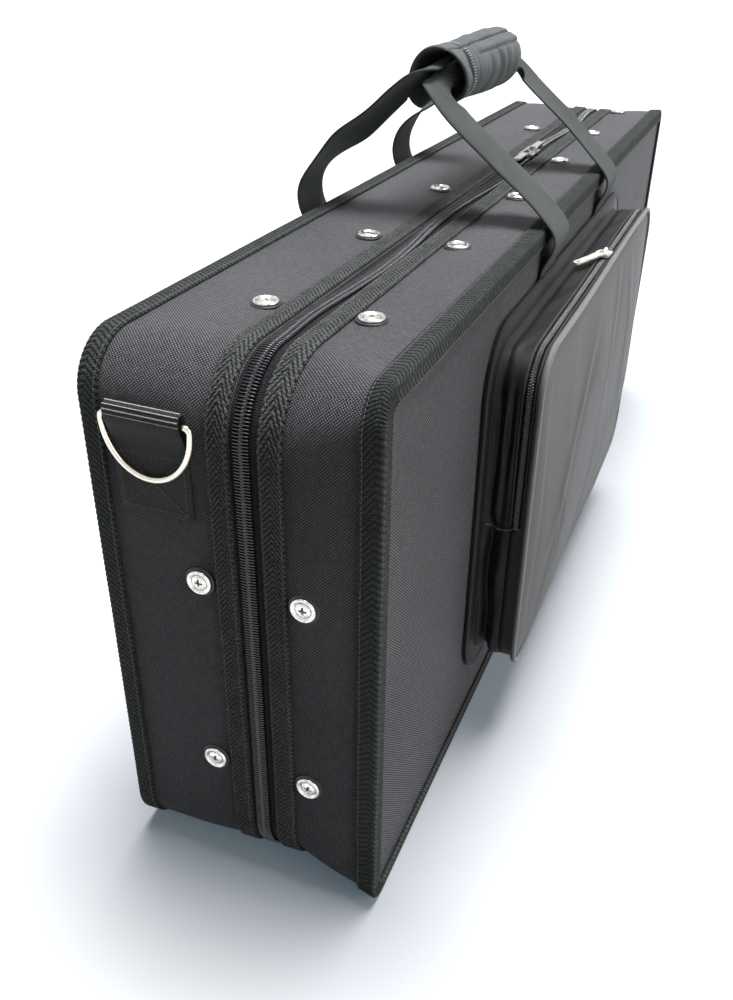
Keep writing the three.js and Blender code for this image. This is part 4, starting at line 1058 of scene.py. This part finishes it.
webbing_width = 0.038
webbing_thickness = 0.0016
strap_near_x, strap_far_x = strap_places
strap_foot_z = 0.060
strap_seat_y, strap_over_y = 0.0746, 0.0761
sewn_to_z = 0.283
grip_y, grip_z = 0.012, 0.3885
seam_angle = math.radians(205)
parting = np.array([0.0, math.cos(seam_angle), math.sin(seam_angle)])
run_offset = 0.0082
turn_radius = 0.020
tucked_width = 0.025
strap_box = [(-0.016, 0.063), (0.016, 0.063), (-0.016, 0.092), (0.016, 0.092), (-0.016, 0.063)]
strap_seam_inset = 0.003
# Where a leg enters the grip and leaves the case edge, how straight it runs between, and its turns in degrees
leg_parts = ("rise", "lip_out", "lip_angle", "lip_share", "head_share", "twist", "waist")
leg_forms = {-1: (43, 0.0009, 46, 0.40, 0.20, 0, 0), 1: (44, 0.0155, 94, 0.27, 0.42, 10, 7)}


def bezier(a, b, c, d, t):
    t = t[:, None]
    return a * (1 - t) ** 3 + 3 * b * t * (1 - t) ** 2 + 3 * c * t * t * (1 - t) + d * t ** 3


def loop_half(side):
    """Centre points, directions across, widths and curls of half a loop: from the foot of the near strap to the
    middle of the grip"""
    form = dict(zip(leg_parts, leg_forms[side]))
    run_y, run_z = grip_y - parting[1] * side * run_offset, grip_z - parting[2] * side * run_offset
    rise = math.radians(form["rise"])
    inward = np.array([0.0, -side * math.cos(rise), math.sin(rise)])
    lengthways = np.array([1.0, 0.0, 0.0])
    x = strap_near_x
    face = [(strap_seat_y, strap_foot_z)]
    face += [(strap_seat_y + 0.0003 * math.sin(z * 60) ** 2, z) for z in np.linspace(0.07, sewn_to_z - 0.004, 22)]
    lip = np.array([x, side * (strap_over_y + form["lip_out"]), case_height + 0.0022])
    head = np.array([x, run_y, run_z]) - inward * turn_radius
    span = np.linalg.norm(head - lip)
    lip_angle = math.radians(form["lip_angle"])
    lip_run = np.array([0.0, -side * math.cos(lip_angle), math.sin(lip_angle)])
    last_stitch = np.array([x, side * (strap_seat_y + 0.0003), sewn_to_z])
    rising = bezier(last_stitch, last_stitch + (0, 0, 0.010), lip - lip_run * 0.017, lip, np.linspace(0, 1, 16))
    wall_y = strap_over_y - 0.0015 * smooth_step(-rising[:, 2], -0.300, -0.290)
    rising[:, 1] = side * np.maximum(side * rising[:, 1], wall_y)
    low = np.concatenate([np.array([(x, side * y, z) for y, z in face]), rising[:-1]])
    leg = bezier(lip, lip + lip_run * span * form["lip_share"], head - inward * span * form["head_share"], head,
                 np.linspace(0, 1, 44))
    angles = np.linspace(0, math.pi / 2, 22)[1:]
    turn = [head + lengthways * turn_radius * (1 - math.cos(a)) + inward * turn_radius * math.sin(a) for a in angles]
    middle_x = (strap_near_x + strap_far_x) / 2
    along_grip = [(gx, run_y, run_z) for gx in np.linspace(turn[-1][0], middle_x, 36)[1:]]
    centres = np.concatenate([low, leg, turn, along_grip])
    in_grip = (np.array(along_grip)[:, 0] - turn[-1][0]) / 0.016
    leg_share = np.concatenate([
        np.zeros(len(low)), np.linspace(0, 1, len(leg)), 1 + angles / (math.pi / 2), 2 + in_grip,
    ])
    turned = np.concatenate([np.zeros(len(low) + len(leg)), angles, np.full(len(along_grip), math.pi / 2)])[:, None]
    run = np.gradient(centres, axis=0)
    flat = lengthways * np.cos(turned) - inward * np.sin(turned)
    face_up = np.cross(flat, unit(run))
    twist = math.radians(form["twist"]) * (smooth_step(leg_share, 0.2, 0.7) - smooth_step(leg_share, 1.0, 2.0))
    twist = twist + math.radians(form["waist"]) * bell(leg_share, 0.66, 0.17)
    across = flat * np.cos(twist)[:, None] + face_up * np.sin(twist)[:, None]
    tangent = np.cross(parting, lengthways)
    tangent = tangent if np.dot(tangent, inward) < 0 else -tangent
    settle = smooth_step(leg_share, 1.6, 3.0)[:, None]
    across = across * (1 - settle) + tangent * settle
    tucked = smooth_step(leg_share, 1.3, 2.0)
    curl = -side * math.radians(75) * tucked - side * math.radians(9) * smooth_step(leg_share, 0.1, 0.5) * (1 - tucked)
    width = webbing_width + (tucked_width - webbing_width) * tucked
    return centres, across, width, curl


for side, body, shell in ((-1, "front_handle", "lid"), (1, "rear_handle", "base")):
    centres, across, width, curl = loop_half(side)
    mirror_x = strap_near_x + strap_far_x
    back = centres[::-1][1:] * (-1, 1, 1) + (mirror_x, 0, 0)
    back_across = across[::-1][1:] * (-1, 1, 1)
    face = "front" if side < 0 else "rear"
    strap = band(
        f"{face}_carry_webbing", np.concatenate([centres, back]), np.concatenate([across, -back_across]),
        webbing_thickness, np.concatenate([width, width[::-1][1:]]),
        np.concatenate([curl, curl[::-1][1:]]), columns=20, material=webbing,
    )
    y = side * strap_over_y
    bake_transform(strap)
    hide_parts(f"{face}_strap_near", f"{face}_strap_far", f"{face}_handle_loop")
    lines = []
    seam_y = side * (strap_seat_y + webbing_thickness / 2)
    seam_z = np.linspace(strap_box[0][1], sewn_to_z - 0.001, 30)
    for x in strap_places:
        for seam_x in (x - webbing_width / 2 + strap_seam_inset, x + webbing_width / 2 - strap_seam_inset):
            lines.append(([(seam_x, seam_y, z) for z in seam_z], (0, side, 0)))
        for a, b in zip(strap_box[:-1], strap_box[1:]):
            lines.append(([(x + a[0], seam_y, a[1]), (x + b[0], seam_y, b[1])], (0, side, 0)))
    stitches = sewn(f"{face}_strap_stitches", lines, black_thread, shell)

# Grip
# A padded wrap of ribbed cloth over foam, which closes round both loops with hook and loop, front half over rear.
# Its near end gapes like a mouth; a sewn band with an overcast edge pinches it at a quarter of its length.

grip_near_x, grip_far_x = -0.0915, 0.0485
grip_radius = 0.0185
grip_wall = 0.0045
grip_stations = (0, 0.05, 0.13, 0.2, 0.28, 0.36, 0.65, 0.92, 1)
grip_outer = (1.0, 1.0, 0.97, 0.95, 0.95, 1.0, 1.06, 1.08, 1.03)
grip_inner = (1.16, 1.14, 1.06, 1.0, 1.0, 1.0, 1.02, 1.06, 1.18)
# Place along the grip, depth, width and slant of each crease
grip_creases = ((0.47, 0.0010, 0.0032, -0.02), (0.605, 0.0015, 0.0036, 0.03), (0.73, 0.0017, 0.0040, 0.02),
                (0.87, 0.0010, 0.0042, -0.04))
front_cut_back, rear_cut_back = 0.020, 0.004
band_from, band_to = 0.185, 0.285
overcast_place = 0.205
overcast_pitch, overcast_length, overcast_thickness = 0.0019, 0.0058, 0.0009


def grip_finish(name, groove_shade, yarn):
    finish = Finish(name, 0.75, 0.25)
    along, across = finish.cloth_places()
    rib = finish.ribs(across, 0.0012)
    weave = finish.lift(finish.crossing(along, across, 0.0006, 0.0006))
    # Rib and yarn tops lit, the hollows between them in painted shade, with random tone
    lift = finish.maths("ADD", finish.times(rib, 0.35), finish.times(weave, 0.65))
    finish.colour(finish.tint(finish.mix(lift, groove_shade, yarn), finish.patches(0.012, 3.0, 0.88, 1.12)))
    finish.bump(lift, 0.0002, 0.7)
    finish.sheen(0.15, 0.5, (0.85, 0.95, 0.95))
    return finish.material


def grip_half(name, side, material, body):
    """Half of the wrap, as one closed padded piece, and the line of its band's near edge; from_top counts the angle
    down from the closure"""
    along = np.concatenate([np.linspace(0, 0.06, 14), np.linspace(0.065, 0.94, 150), np.linspace(0.945, 1.0, 12)])
    x = grip_near_x + (grip_far_x - grip_near_x) * along
    outer = np.interp(along, grip_stations, grip_outer) * grip_radius
    inner = np.interp(along, grip_stations, grip_inner) * (grip_radius - grip_wall)
    kernel = np.hanning(11) / np.hanning(11).sum()
    outer, inner = (np.convolve(np.pad(v, 5, mode="edge"), kernel, mode="valid") for v in (outer, inner))
    thick = outer - inner
    from_end = np.minimum(along, 1 - along) * (grip_far_x - grip_near_x)
    rim = np.sqrt(np.clip(1 - (1 - from_end / 0.0022).clip(0, 1) ** 2, 0.03, 1))
    middle_radius = (outer + inner) / 2
    middle = seam_angle if side < 0 else seam_angle - math.pi
    share = np.sin(np.linspace(-1, 1, 73) * math.pi / 2 * 0.9) / math.sin(math.pi / 2 * 0.9)
    rounded = np.sqrt(np.clip(1 - ((np.abs(share) - 0.94) / 0.06).clip(0, 1) ** 2, 0.03, 1))
    place = along[:, None]
    sections = []
    for sheet, order in ((1, slice(None)), (-1, slice(None, None, -1))):
        radius = middle_radius[:, None] + sheet * thick[:, None] / 2 * rim[:, None] * rounded[None, :]
        reach = math.pi / 2 - 0.0003 / radius
        angle = middle + share[None, :] * reach
        from_top = (angle - (seam_angle - math.pi / 2)) * -side
        if side < 0:
            radius = radius - 0.0024 * (bell(place, 0.165, 0.045) * bell(from_top, 0.75, 0.55))
            radius = radius + 0.0012 * bell(place, 0, 0.05) * bell(from_top, 0.7, 0.6)
        else:
            radius = radius + 0.0045 * (bell(place, 0, 0.12) * bell(from_top, 2.75, 0.6))
        if sheet > 0:
            soft = smooth_step(place, 0.30, 0.36) * rounded[None, :] * rim[:, None]
            if side < 0:
                for centre, depth, spread, slant in grip_creases:
                    start, end = 0.45 + 0.15 * math.sin(centre * 31) ** 2, 1.7 + 0.7 * math.sin(centre * 17) ** 2
                    fade = smooth_step(from_top, start - 0.1, start + 0.35)
                    fade = fade * (1 - smooth_step(from_top, end - 0.6, end + 0.5)) * soft
                    lean = place - centre - slant * (from_top - 0.8) - 0.01 * np.sin(from_top * 3 + centre * 9)
                    lean = lean * (grip_far_x - grip_near_x)
                    radius = radius - depth * bell(lean, 0, spread) * fade
                    radius = radius + 0.45 * depth * bell(lean, 2 * spread, 1.3 * spread) * fade
                radius = radius + 0.0004 * soft_wave(x[:, None] + angle * 0.009, (0.057, 0.031), 2.4) * soft
                radius = radius + 0.0010 * bell(from_top, 0.36, 0.10) * soft
                radius = radius - 0.0012 * bell(from_top, 0.52, 0.04) * soft
            else:
                radius = radius + 0.0004 * soft_wave(angle * 0.04 + x[:, None], (0.041, 0.023), 1.8) * soft
            band_line = bell(place, band_to, 0.006) + bell(place, band_from, 0.006)
            ribs = 1 - np.abs(np.sin(angle * grip_radius / 0.0019 * math.pi)) ** 0.7
            within = smooth_step(place, 0.192, 0.20) * (1 - smooth_step(place, 0.27, 0.278))
            radius = radius - (0.0006 * band_line - 0.0007 * ribs * within) * rounded[None, :]
        mouth, low_end = (front_cut_back, 2.2) if side < 0 else (rear_cut_back, 1.2)
        cut_back = mouth * smooth_step(from_top, 0.3, low_end) * np.clip(1 - place / 0.34, 0, 1) ** 1.5
        points = np.stack([
            x[:, None] + cut_back, grip_y + radius * np.cos(angle), grip_z + radius * np.sin(angle),
        ], -1)
        sections.append(points[:, order])
    points = np.concatenate(sections, 1)
    arc = (share + 1) / 2 * math.pi * grip_radius
    across = np.concatenate([arc, arc[-1] + grip_wall + arc, [2 * arc[-1] + 2 * grip_wall]])
    seam = sections[0][np.argmin(np.abs(along - overcast_place)), 6 if side < 0 else 3:-3]
    return ring_piece(name, points, x, across, False, material=material, body=body), seam


# The first colour is painted shade in the cloth's hollows
grip_cloth = grip_finish("grip_cloth", (0.062, 0.068, 0.069), (0.185, 0.197, 0.201))
grip_thread = thread_finish("grip_thread", (0.33, 0.345, 0.36))
for side, body, face in ((-1, "front_handle", "front"), (1, "rear_handle", "rear")):
    wrap, seam = grip_half(f"{face}_grip_pad", side, grip_cloth, body)
    out = seam - (0, grip_y, grip_z)
    out[:, 0] = 0
    walk = path_lengths(seam)
    middles = np.arange(0.001, walk[-1], overcast_pitch)
    place, up = path_places(middles, walk, seam), unit(path_places(middles, walk, out))
    lengthways = np.broadcast_to((1.0, 0.0, 0.0), up.shape)
    shape, faces = stitch_shape(overcast_length, overcast_thickness)
    overcast = repeated(f"{face}_grip_stitches", shape, faces, place + up * 0.0001, lengthways,
                        np.cross(up, lengthways), up, material=grip_thread, body=body)
    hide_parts(f"grip_{face}_half")

# Sliders and pull tabs
# Die-cast zinc, nickel plated: a wedge-shaped body whose lip runs beside the coil, a bridge on top, and a flat tab
# with a frame that hangs on the bridge.

cast_metal = chrome_finish("cast_metal", (0.62, 0.60, 0.56), 0.24, 0.5)
pale_metal = chrome_finish("pale_cast_metal", (0.92, 0.89, 0.80), 0.42, 0.85)
for name in ("near_zip_slider", "far_zip_slider", "near_pull_tab", "far_pull_tab", "pocket_zip_slider",
             "pocket_pull_tab"):
    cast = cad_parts[name]
    cast.data.materials.clear()
    cast.data.materials.append(pale_metal if name.startswith("pocket") else cast_metal)
    soften = cast.modifiers.new("worn_edges", "BEVEL")
    soften.width = 0.00025
    soften.segments = 2
    soften.limit_method = "ANGLE"

# Pocket
# A flat pocket of satin-weave polyester, sewn to the lid over the straps by a flange, with a gusset round it, a coil
# zip over the top half and a silvery piped edge. Its front is soft and falls in long upright folds.

pocket_low, pocket_high = (-0.229, 0.055), (0.143, 0.270)
pocket_middle = ((pocket_low[0] + pocket_high[0]) / 2, (pocket_low[1] + pocket_high[1]) / 2)
pocket_half = ((pocket_high[0] - pocket_low[0]) / 2, (pocket_high[1] - pocket_low[1]) / 2)
pocket_corner = 0.024
pocket_flange = 0.013
pocket_skin = 0.0016
pocket_back_y = -0.0757
pocket_zip_y = -0.0978
pocket_front_y = -0.1048
pocket_crown = 0.009
pocket_fold_z = 0.162
pocket_coil_half = 0.003
pocket_coil_reach, pocket_coil_top = 0.0023, 0.0014
pocket_tooth_pitch, pocket_tooth_radius, pocket_tooth_flat = 0.0015, 0.0004, 0.92
piping_radius, flange_edge_radius, welt_radius, side_seam_radius = 0.0018, 0.0009, 0.0008, 0.0006
# Place, middle height, half length, width, rise and lean of each fold in the front
pocket_pulls = ((-0.171, -0.010, 0.090, 0.0030, 0.0008, 0.02), (-0.092, 0.020, 0.050, 0.0085, 0.0012, 0.80),
                (-0.028, -0.055, 0.040, 0.0075, 0.0009, 0.70), (0.035, -0.060, 0.050, 0.0090, 0.0008, 0.35),
                (-0.130, -0.055, 0.045, 0.0040, 0.0009, 0.25), (0.095, 0.020, 0.070, 0.0090, 0.0010, -0.15),
                (0.020, 0.055, 0.050, 0.0080, 0.0009, 0.30), (0.150, -0.030, 0.060, 0.0050, 0.0008, 0.05))
pocket_line = Outline(*pocket_half, pocket_corner, *pocket_middle)
flange_line = Outline(
    pocket_half[0] + pocket_flange, pocket_half[1] + pocket_flange, pocket_corner + pocket_flange, *pocket_middle
)


def satin_finish(name, dark, light):
    finish = Finish(name, 0.46, 0.17)
    along, across = finish.cloth_places()
    lift = finish.lift(finish.crossing(along, across, 0.0005, 0.0005))
    # Yarn tops lit and the hollows between them in painted shade, with soft random tone
    finish.colour(finish.tint(finish.mix(lift, dark, light), finish.patches(0.05, 3.0, 0.92, 1.06)))
    finish.bump(lift, 0.00010, 0.5)
    finish.sheen(0.06, 0.4, (0.9, 0.93, 1.0))
    return finish.material


# Each first colour is painted shade in the hollows of the weave
satin = satin_finish("pocket_satin", (0.031, 0.030, 0.029), (0.077, 0.074, 0.074))
gusset_cloth = satin_finish("pocket_gusset", (0.005, 0.005, 0.005), (0.014, 0.014, 0.014))
# The piping's pale grey is partly its silvery cloth and partly a painted highlight of its sheen; the gusset's side
# seams share it
piping_cloth = satin_finish("piping_satin", (0.15, 0.15, 0.15), (0.27, 0.27, 0.27))
piping_cloth.node_tree.nodes["Principled BSDF"].inputs["Roughness"].default_value = 0.3
gusset_thread = thread_finish("gusset_thread", (0.06, 0.06, 0.06))

grid = face_grid(flange_line, 0.0, pocket_back_y, (48, 30))
rear_end_y = pocket_zip_y + pocket_coil_half


def gusset_reach(x, y, z):
    """How far the soft gusset stands out: creases at its near top corner, and a deep fold all along below the seam"""
    s = x + z
    waves = 0.0005 * soft_wave(s + 3 * y, (0.061, 0.037, 0.019), 0.9)
    near = bell(x, pocket_low[0], 0.012)
    creases = 0.0013 * near * np.cos((y + 0.0795) * 2 * math.pi / 0.0062 + 12 * (z - 0.2)) * (
        bell(z, 0.226, 0.022) + 0.4 * bell(z, 0.19, 0.03))
    below = 1 - smooth_step(z + 0.004 * np.sin(400 * y), pocket_fold_z - 0.012, pocket_fold_z + 0.003)
    fold = 0.0055 * bell(y + 0.0012 * np.sin(s / 0.013), -0.0835, 0.0030) - 0.0012 * bell(y, -0.0905, 0.004)
    return waves + creases - fold * below - 0.0022 * bell(y, -0.081, 0.0022) * (1 - below)


def gusset_ring(out, y, wrinkle=0.0):
    ring = grid_ring(pocket_line, grid, out, y)
    reach = wrinkle * gusset_reach(ring[:, 0], y, ring[:, 2])
    return ring + np.stack([grid["out"][0] * reach, 0 * reach, grid["out"][1] * reach], 1)


rings = [grid_ring(flange_line, grid, 0.0, pocket_back_y - pocket_skin)]
rings.append(grid_ring(flange_line, grid, -pocket_flange + 0.001, pocket_back_y - pocket_skin))
depths = np.linspace(pocket_back_y - pocket_skin - 0.0008, rear_end_y, 20)
swell = np.sin(math.pi * np.arange(20) / 19) ** 0.5
rings += [gusset_ring(0.0, y, share) for y, share in zip(depths, swell)]
rings += [gusset_ring(-pocket_skin, y, share) for y, share in zip(depths[::-1], swell)]
rear_panel = tray_piece(
    "pocket_rear_cloth", pocket_line, grid, pocket_back_y, rings, pocket_back_y - pocket_skin,
    material=gusset_cloth, body="lid",
)
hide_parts("pocket_rear_panel")

s = np.arange(600) / 600 * flange_line.length
path, _ = flange_line.at(s, -0.0006, pocket_back_y - 0.0011)
edge = pipe("pocket_flange_edge", path, flange_edge_radius, 8, True, material=gusset_cloth, body="lid")
path, _ = flange_line.at(s, -0.0032, pocket_back_y - pocket_skin)
seam = sewn("pocket_flange_stitches", [(path, (0, -1, 0))], gusset_thread, "lid")
seam_depths = np.linspace(pocket_back_y - pocket_skin - 0.0005, pocket_front_y + 0.002, 40)
for side, end in ((-1, "near"), (1, "far")):
    x = pocket_middle[0] + side * pocket_half[0]
    z = pocket_fold_z - 0.0005 + 0.0016 * np.sin((seam_depths + 0.08) / 0.0045)
    share = np.interp(seam_depths, (depths[-1], depths[-4], depths[3], depths[0]), (0, 1, 1, 0))
    out = 0.0003 + share * gusset_reach(x, seam_depths, z)
    path = np.stack([x + side * out, seam_depths, z], 1)[2:-2]
    fold = pipe(f"pocket_{end}_seam", path, side_seam_radius, 8, False, material=piping_cloth, body="lid")

grid = face_grid(pocket_line, 0.0008, pocket_front_y, (110, 64))


def front_height(x, z):
    """How far the pocket's front stands forward of its piped edge: a soft crown and long upright folds"""
    u = np.clip(1 - np.abs(x) / pocket_half[0], 0, 1)
    v = np.clip(1 - np.abs(z) / pocket_half[1], 0, 1)
    crown = pocket_crown * np.minimum(1, 1.6 * u ** 0.55) * np.minimum(1, 1.25 * v ** 0.55) * 0.86
    away = smooth_step(np.minimum(u, v), 0.02, 0.16)
    dents = -0.0030 * np.exp(-((x + 0.115) / 0.055) ** 2 - ((z - 0.045) / 0.045) ** 2)
    dents += 0.0016 * np.exp(-((x + 0.06) / 0.09) ** 2 - ((z + 0.05) / 0.05) ** 2)
    dents += 0.0006 * soft_wave(x + 0.3 * z, (0.131, 0.083), 0.7) * (0.6 + 0.4 * np.sin(z / 0.03 + x / 0.05))
    pulls = 0 * x
    for place, middle, half, width, rise, lean in pocket_pulls:
        off = x - place - lean * (z - middle) - 0.0015 * np.sin((z - middle) / 0.017)
        along = np.exp(-((z - middle) / half) ** 4)
        pulls += rise * along * (bell(off, 0, width) - 0.7 * bell(off, 1.9 * width, 1.2 * width))
    return crown + (dents + pulls) * away


height = front_height(grid["x"], grid["z"])
low_edge_y, flap_edge_y = rear_end_y - 0.0003, pocket_zip_y - pocket_coil_half
edge_z = grid_ring(pocket_line, grid, 0.0, pocket_front_y)[:, 2]
edge_y = np.where(edge_z < pocket_fold_z, low_edge_y, flap_edge_y)
rings = []
for out, shares in ((0.0, (0.0, 0.25, 0.5, 0.75, 1.0)), (-pocket_skin, (1.0, 0.3))):
    for share in shares:
        back = np.stack([0 * edge_z, share * (edge_y - pocket_front_y), 0 * edge_z], 1)
        rings.append(grid_ring(pocket_line, grid, out, pocket_front_y) + back)
front = tray_piece(
    "pocket_front_cloth", pocket_line, grid, pocket_front_y - height, rings,
    pocket_front_y - height + pocket_skin * 0.6, material=satin,
)
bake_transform(front)
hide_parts("pocket_flap", "pocket_lower_panel")

s = np.arange(720) / 720 * pocket_line.length
path, _ = pocket_line.at(s, 0.0021 + 0.0001 * np.sin(s / 0.02), pocket_front_y + 0.0003 * np.sin(s / 0.045))
piping = pipe("pocket_piping", path, piping_radius, 12, True, material=piping_cloth)
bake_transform(piping)
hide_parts("pocket_flap_piping", "pocket_lower_piping")

zip_from = pocket_line.ends[1] + (pocket_fold_z + 0.0003 - (pocket_low[1] + pocket_corner))
zip_to = pocket_line.length - zip_from
for side, body, node in ((1, "lid", "pocket_rear_zip_half"), (-1, "flap", "pocket_flap_zip_half")):
    inner_y, outer_y = pocket_zip_y + side * 0.0003, pocket_zip_y + side * (pocket_coil_half - 0.0003)
    profile = [(-0.0012, inner_y), (-0.0004, inner_y), (-0.0002, outer_y), (-0.0012, outer_y)]
    s = np.linspace(zip_from, zip_to, 420)
    tape = swept(f"pocket_{body}_zip_tape", pocket_line, s, profile, material=zip_cloth, body=body)
    coil = coil_row(
        f"pocket_{body}_zip_coil", pocket_line, zip_from, zip_to, pocket_zip_y, pocket_coil_top, pocket_coil_reach,
        pocket_tooth_pitch, pocket_tooth_radius, pocket_tooth_flat, side, 0.25 * side, coil_nylon, body,
    )
    for piece in (tape, coil):
        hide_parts(node)
    path, _ = pocket_line.at(s[2:-2], 0.0006, pocket_zip_y + side * 0.0034 + 0.0002 * np.sin(s[2:-2] / 0.017))
    welt = pipe(f"pocket_{body}_zip_welt", path, welt_radius, 8, False, material=satin, body=body)

# Studio
# White backdrop paper and two large soft lamps, one overhead and one in front, which throw only a faint shadow; a
# painted shadow greys the floor round the case.
# The camera stands where the photographer stood, fitted to the photograph's own edges.

camera_place = (-0.70706, -0.19748, 0.46873)
camera_right = (0.38480353, -0.92292392, 0.01173358)
camera_down = (-0.46994561, -0.2068486, -0.858117)
camera_forward = (0.79440378, 0.32469231, -0.51332011)
camera_data = bpy.data.cameras.new("photographer")
camera_data.sensor_width = 36.0
camera_data.lens = 34.45
camera_data.clip_start = 0.01
camera = bpy.data.objects.new("photographer", camera_data)
bpy.context.scene.collection.objects.link(camera)
axes = Matrix((camera_right, [-v for v in camera_down], [-v for v in camera_forward])).transposed()
camera.matrix_world = Matrix.Translation(Vector(camera_place)) @ axes.to_4x4()
bpy.context.scene.camera = camera


def floor_finish(name):
    """Pale to the camera and in gloss, and darker to light that bounces, so that it throws little up at the case. A
    painted shadow greys the floor where the case stands and fades to white within a hand's breadth of it."""
    finish = Finish(name, 0.9, 0.0)
    split = finish.node("ShaderNodeSeparateXYZ")
    finish.feed(split.inputs[0], finish.node("ShaderNodeTexCoord").outputs["Object"])
    beyond = [
        finish.maths("MAXIMUM", finish.maths("SUBTRACT", finish.maths("ABSOLUTE", place), reach), 0.0)
        for place, reach in ((split.outputs[0], half_length - 0.02), (split.outputs[1], half_depth - 0.02))
    ]
    away = finish.maths("SQRT", finish.maths("ADD", *(finish.times(part, part) for part in beyond)))
    # Painted shadow: greyer within a hand's breadth of the case, white beyond
    paper_and_painted_shadow = finish.mix(finish.span(away, 0.03, 0.19), (0.595, 0.600, 0.615), (0.90, 0.90, 0.90))
    rays = finish.node("ShaderNodeLightPath")
    direct = finish.maths("MAXIMUM", rays.outputs["Is Camera Ray"], rays.outputs["Is Glossy Ray"])
    direct = finish.maths("MAXIMUM", direct, rays.outputs["Is Transmission Ray"])
    finish.colour(finish.mix(direct, (0.08, 0.08, 0.083), paper_and_painted_shadow))
    finish.feed(finish.shader.inputs["Emission Color"], (0.55, 0.80, 1.0))
    finish.feed(finish.shader.inputs["Emission Strength"], finish.times(direct, 0.095))
    return finish.material


floor_half = 30.0
corners = [(-floor_half, -floor_half, 0), (floor_half, -floor_half, 0), (floor_half, floor_half, 0),
           (-floor_half, floor_half, 0)]
floor = mesh_piece("floor", corners, [(0, 1, 2, 3)], material=floor_finish("pale_floor"))
floor.location.z = -0.0004

world = bpy.data.worlds.new("studio_air")
bpy.context.scene.world = world
world.use_nodes = True
air = world.node_tree
background = air.nodes["Background"]
background.inputs["Color"].default_value = (0.97, 0.985, 1.0, 1.0)
rays = air.nodes.new("ShaderNodeLightPath")
seen = rays.outputs["Is Camera Ray"]
for kind in ("Is Glossy Ray", "Is Transmission Ray"):
    either = air.nodes.new("ShaderNodeMath")
    either.operation = "MAXIMUM"
    air.links.new(seen, either.inputs[0])
    air.links.new(rays.outputs[kind], either.inputs[1])
    seen = either.outputs[0]
level = air.nodes.new("ShaderNodeMapRange")
level.inputs["To Min"].default_value = 0.08
level.inputs["To Max"].default_value = 1.0
air.links.new(seen, level.inputs["Value"])
air.links.new(level.outputs[0], background.inputs["Strength"])


def soft_lamp(name, strength, colour, towards, spread):
    lamp = bpy.data.lights.new(name, "SUN")
    lamp.energy = strength
    lamp.color = colour
    lamp.angle = math.radians(spread)
    stand = bpy.data.objects.new(name, lamp)
    bpy.context.scene.collection.objects.link(stand)
    stand.rotation_mode = "QUATERNION"
    stand.rotation_quaternion = Vector(towards).to_track_quat("-Z", "Y")


soft_lamp("overhead_light", strength=4.3, colour=(0.96, 0.98, 1.0), towards=(-0.22, 0.02, -1.0), spread=32)
soft_lamp("front_light", strength=1.2, colour=(1.0, 0.99, 0.97), towards=(0.05, 1.0, -0.45), spread=50)
bpy.context.scene.view_settings.view_transform = "Standard"
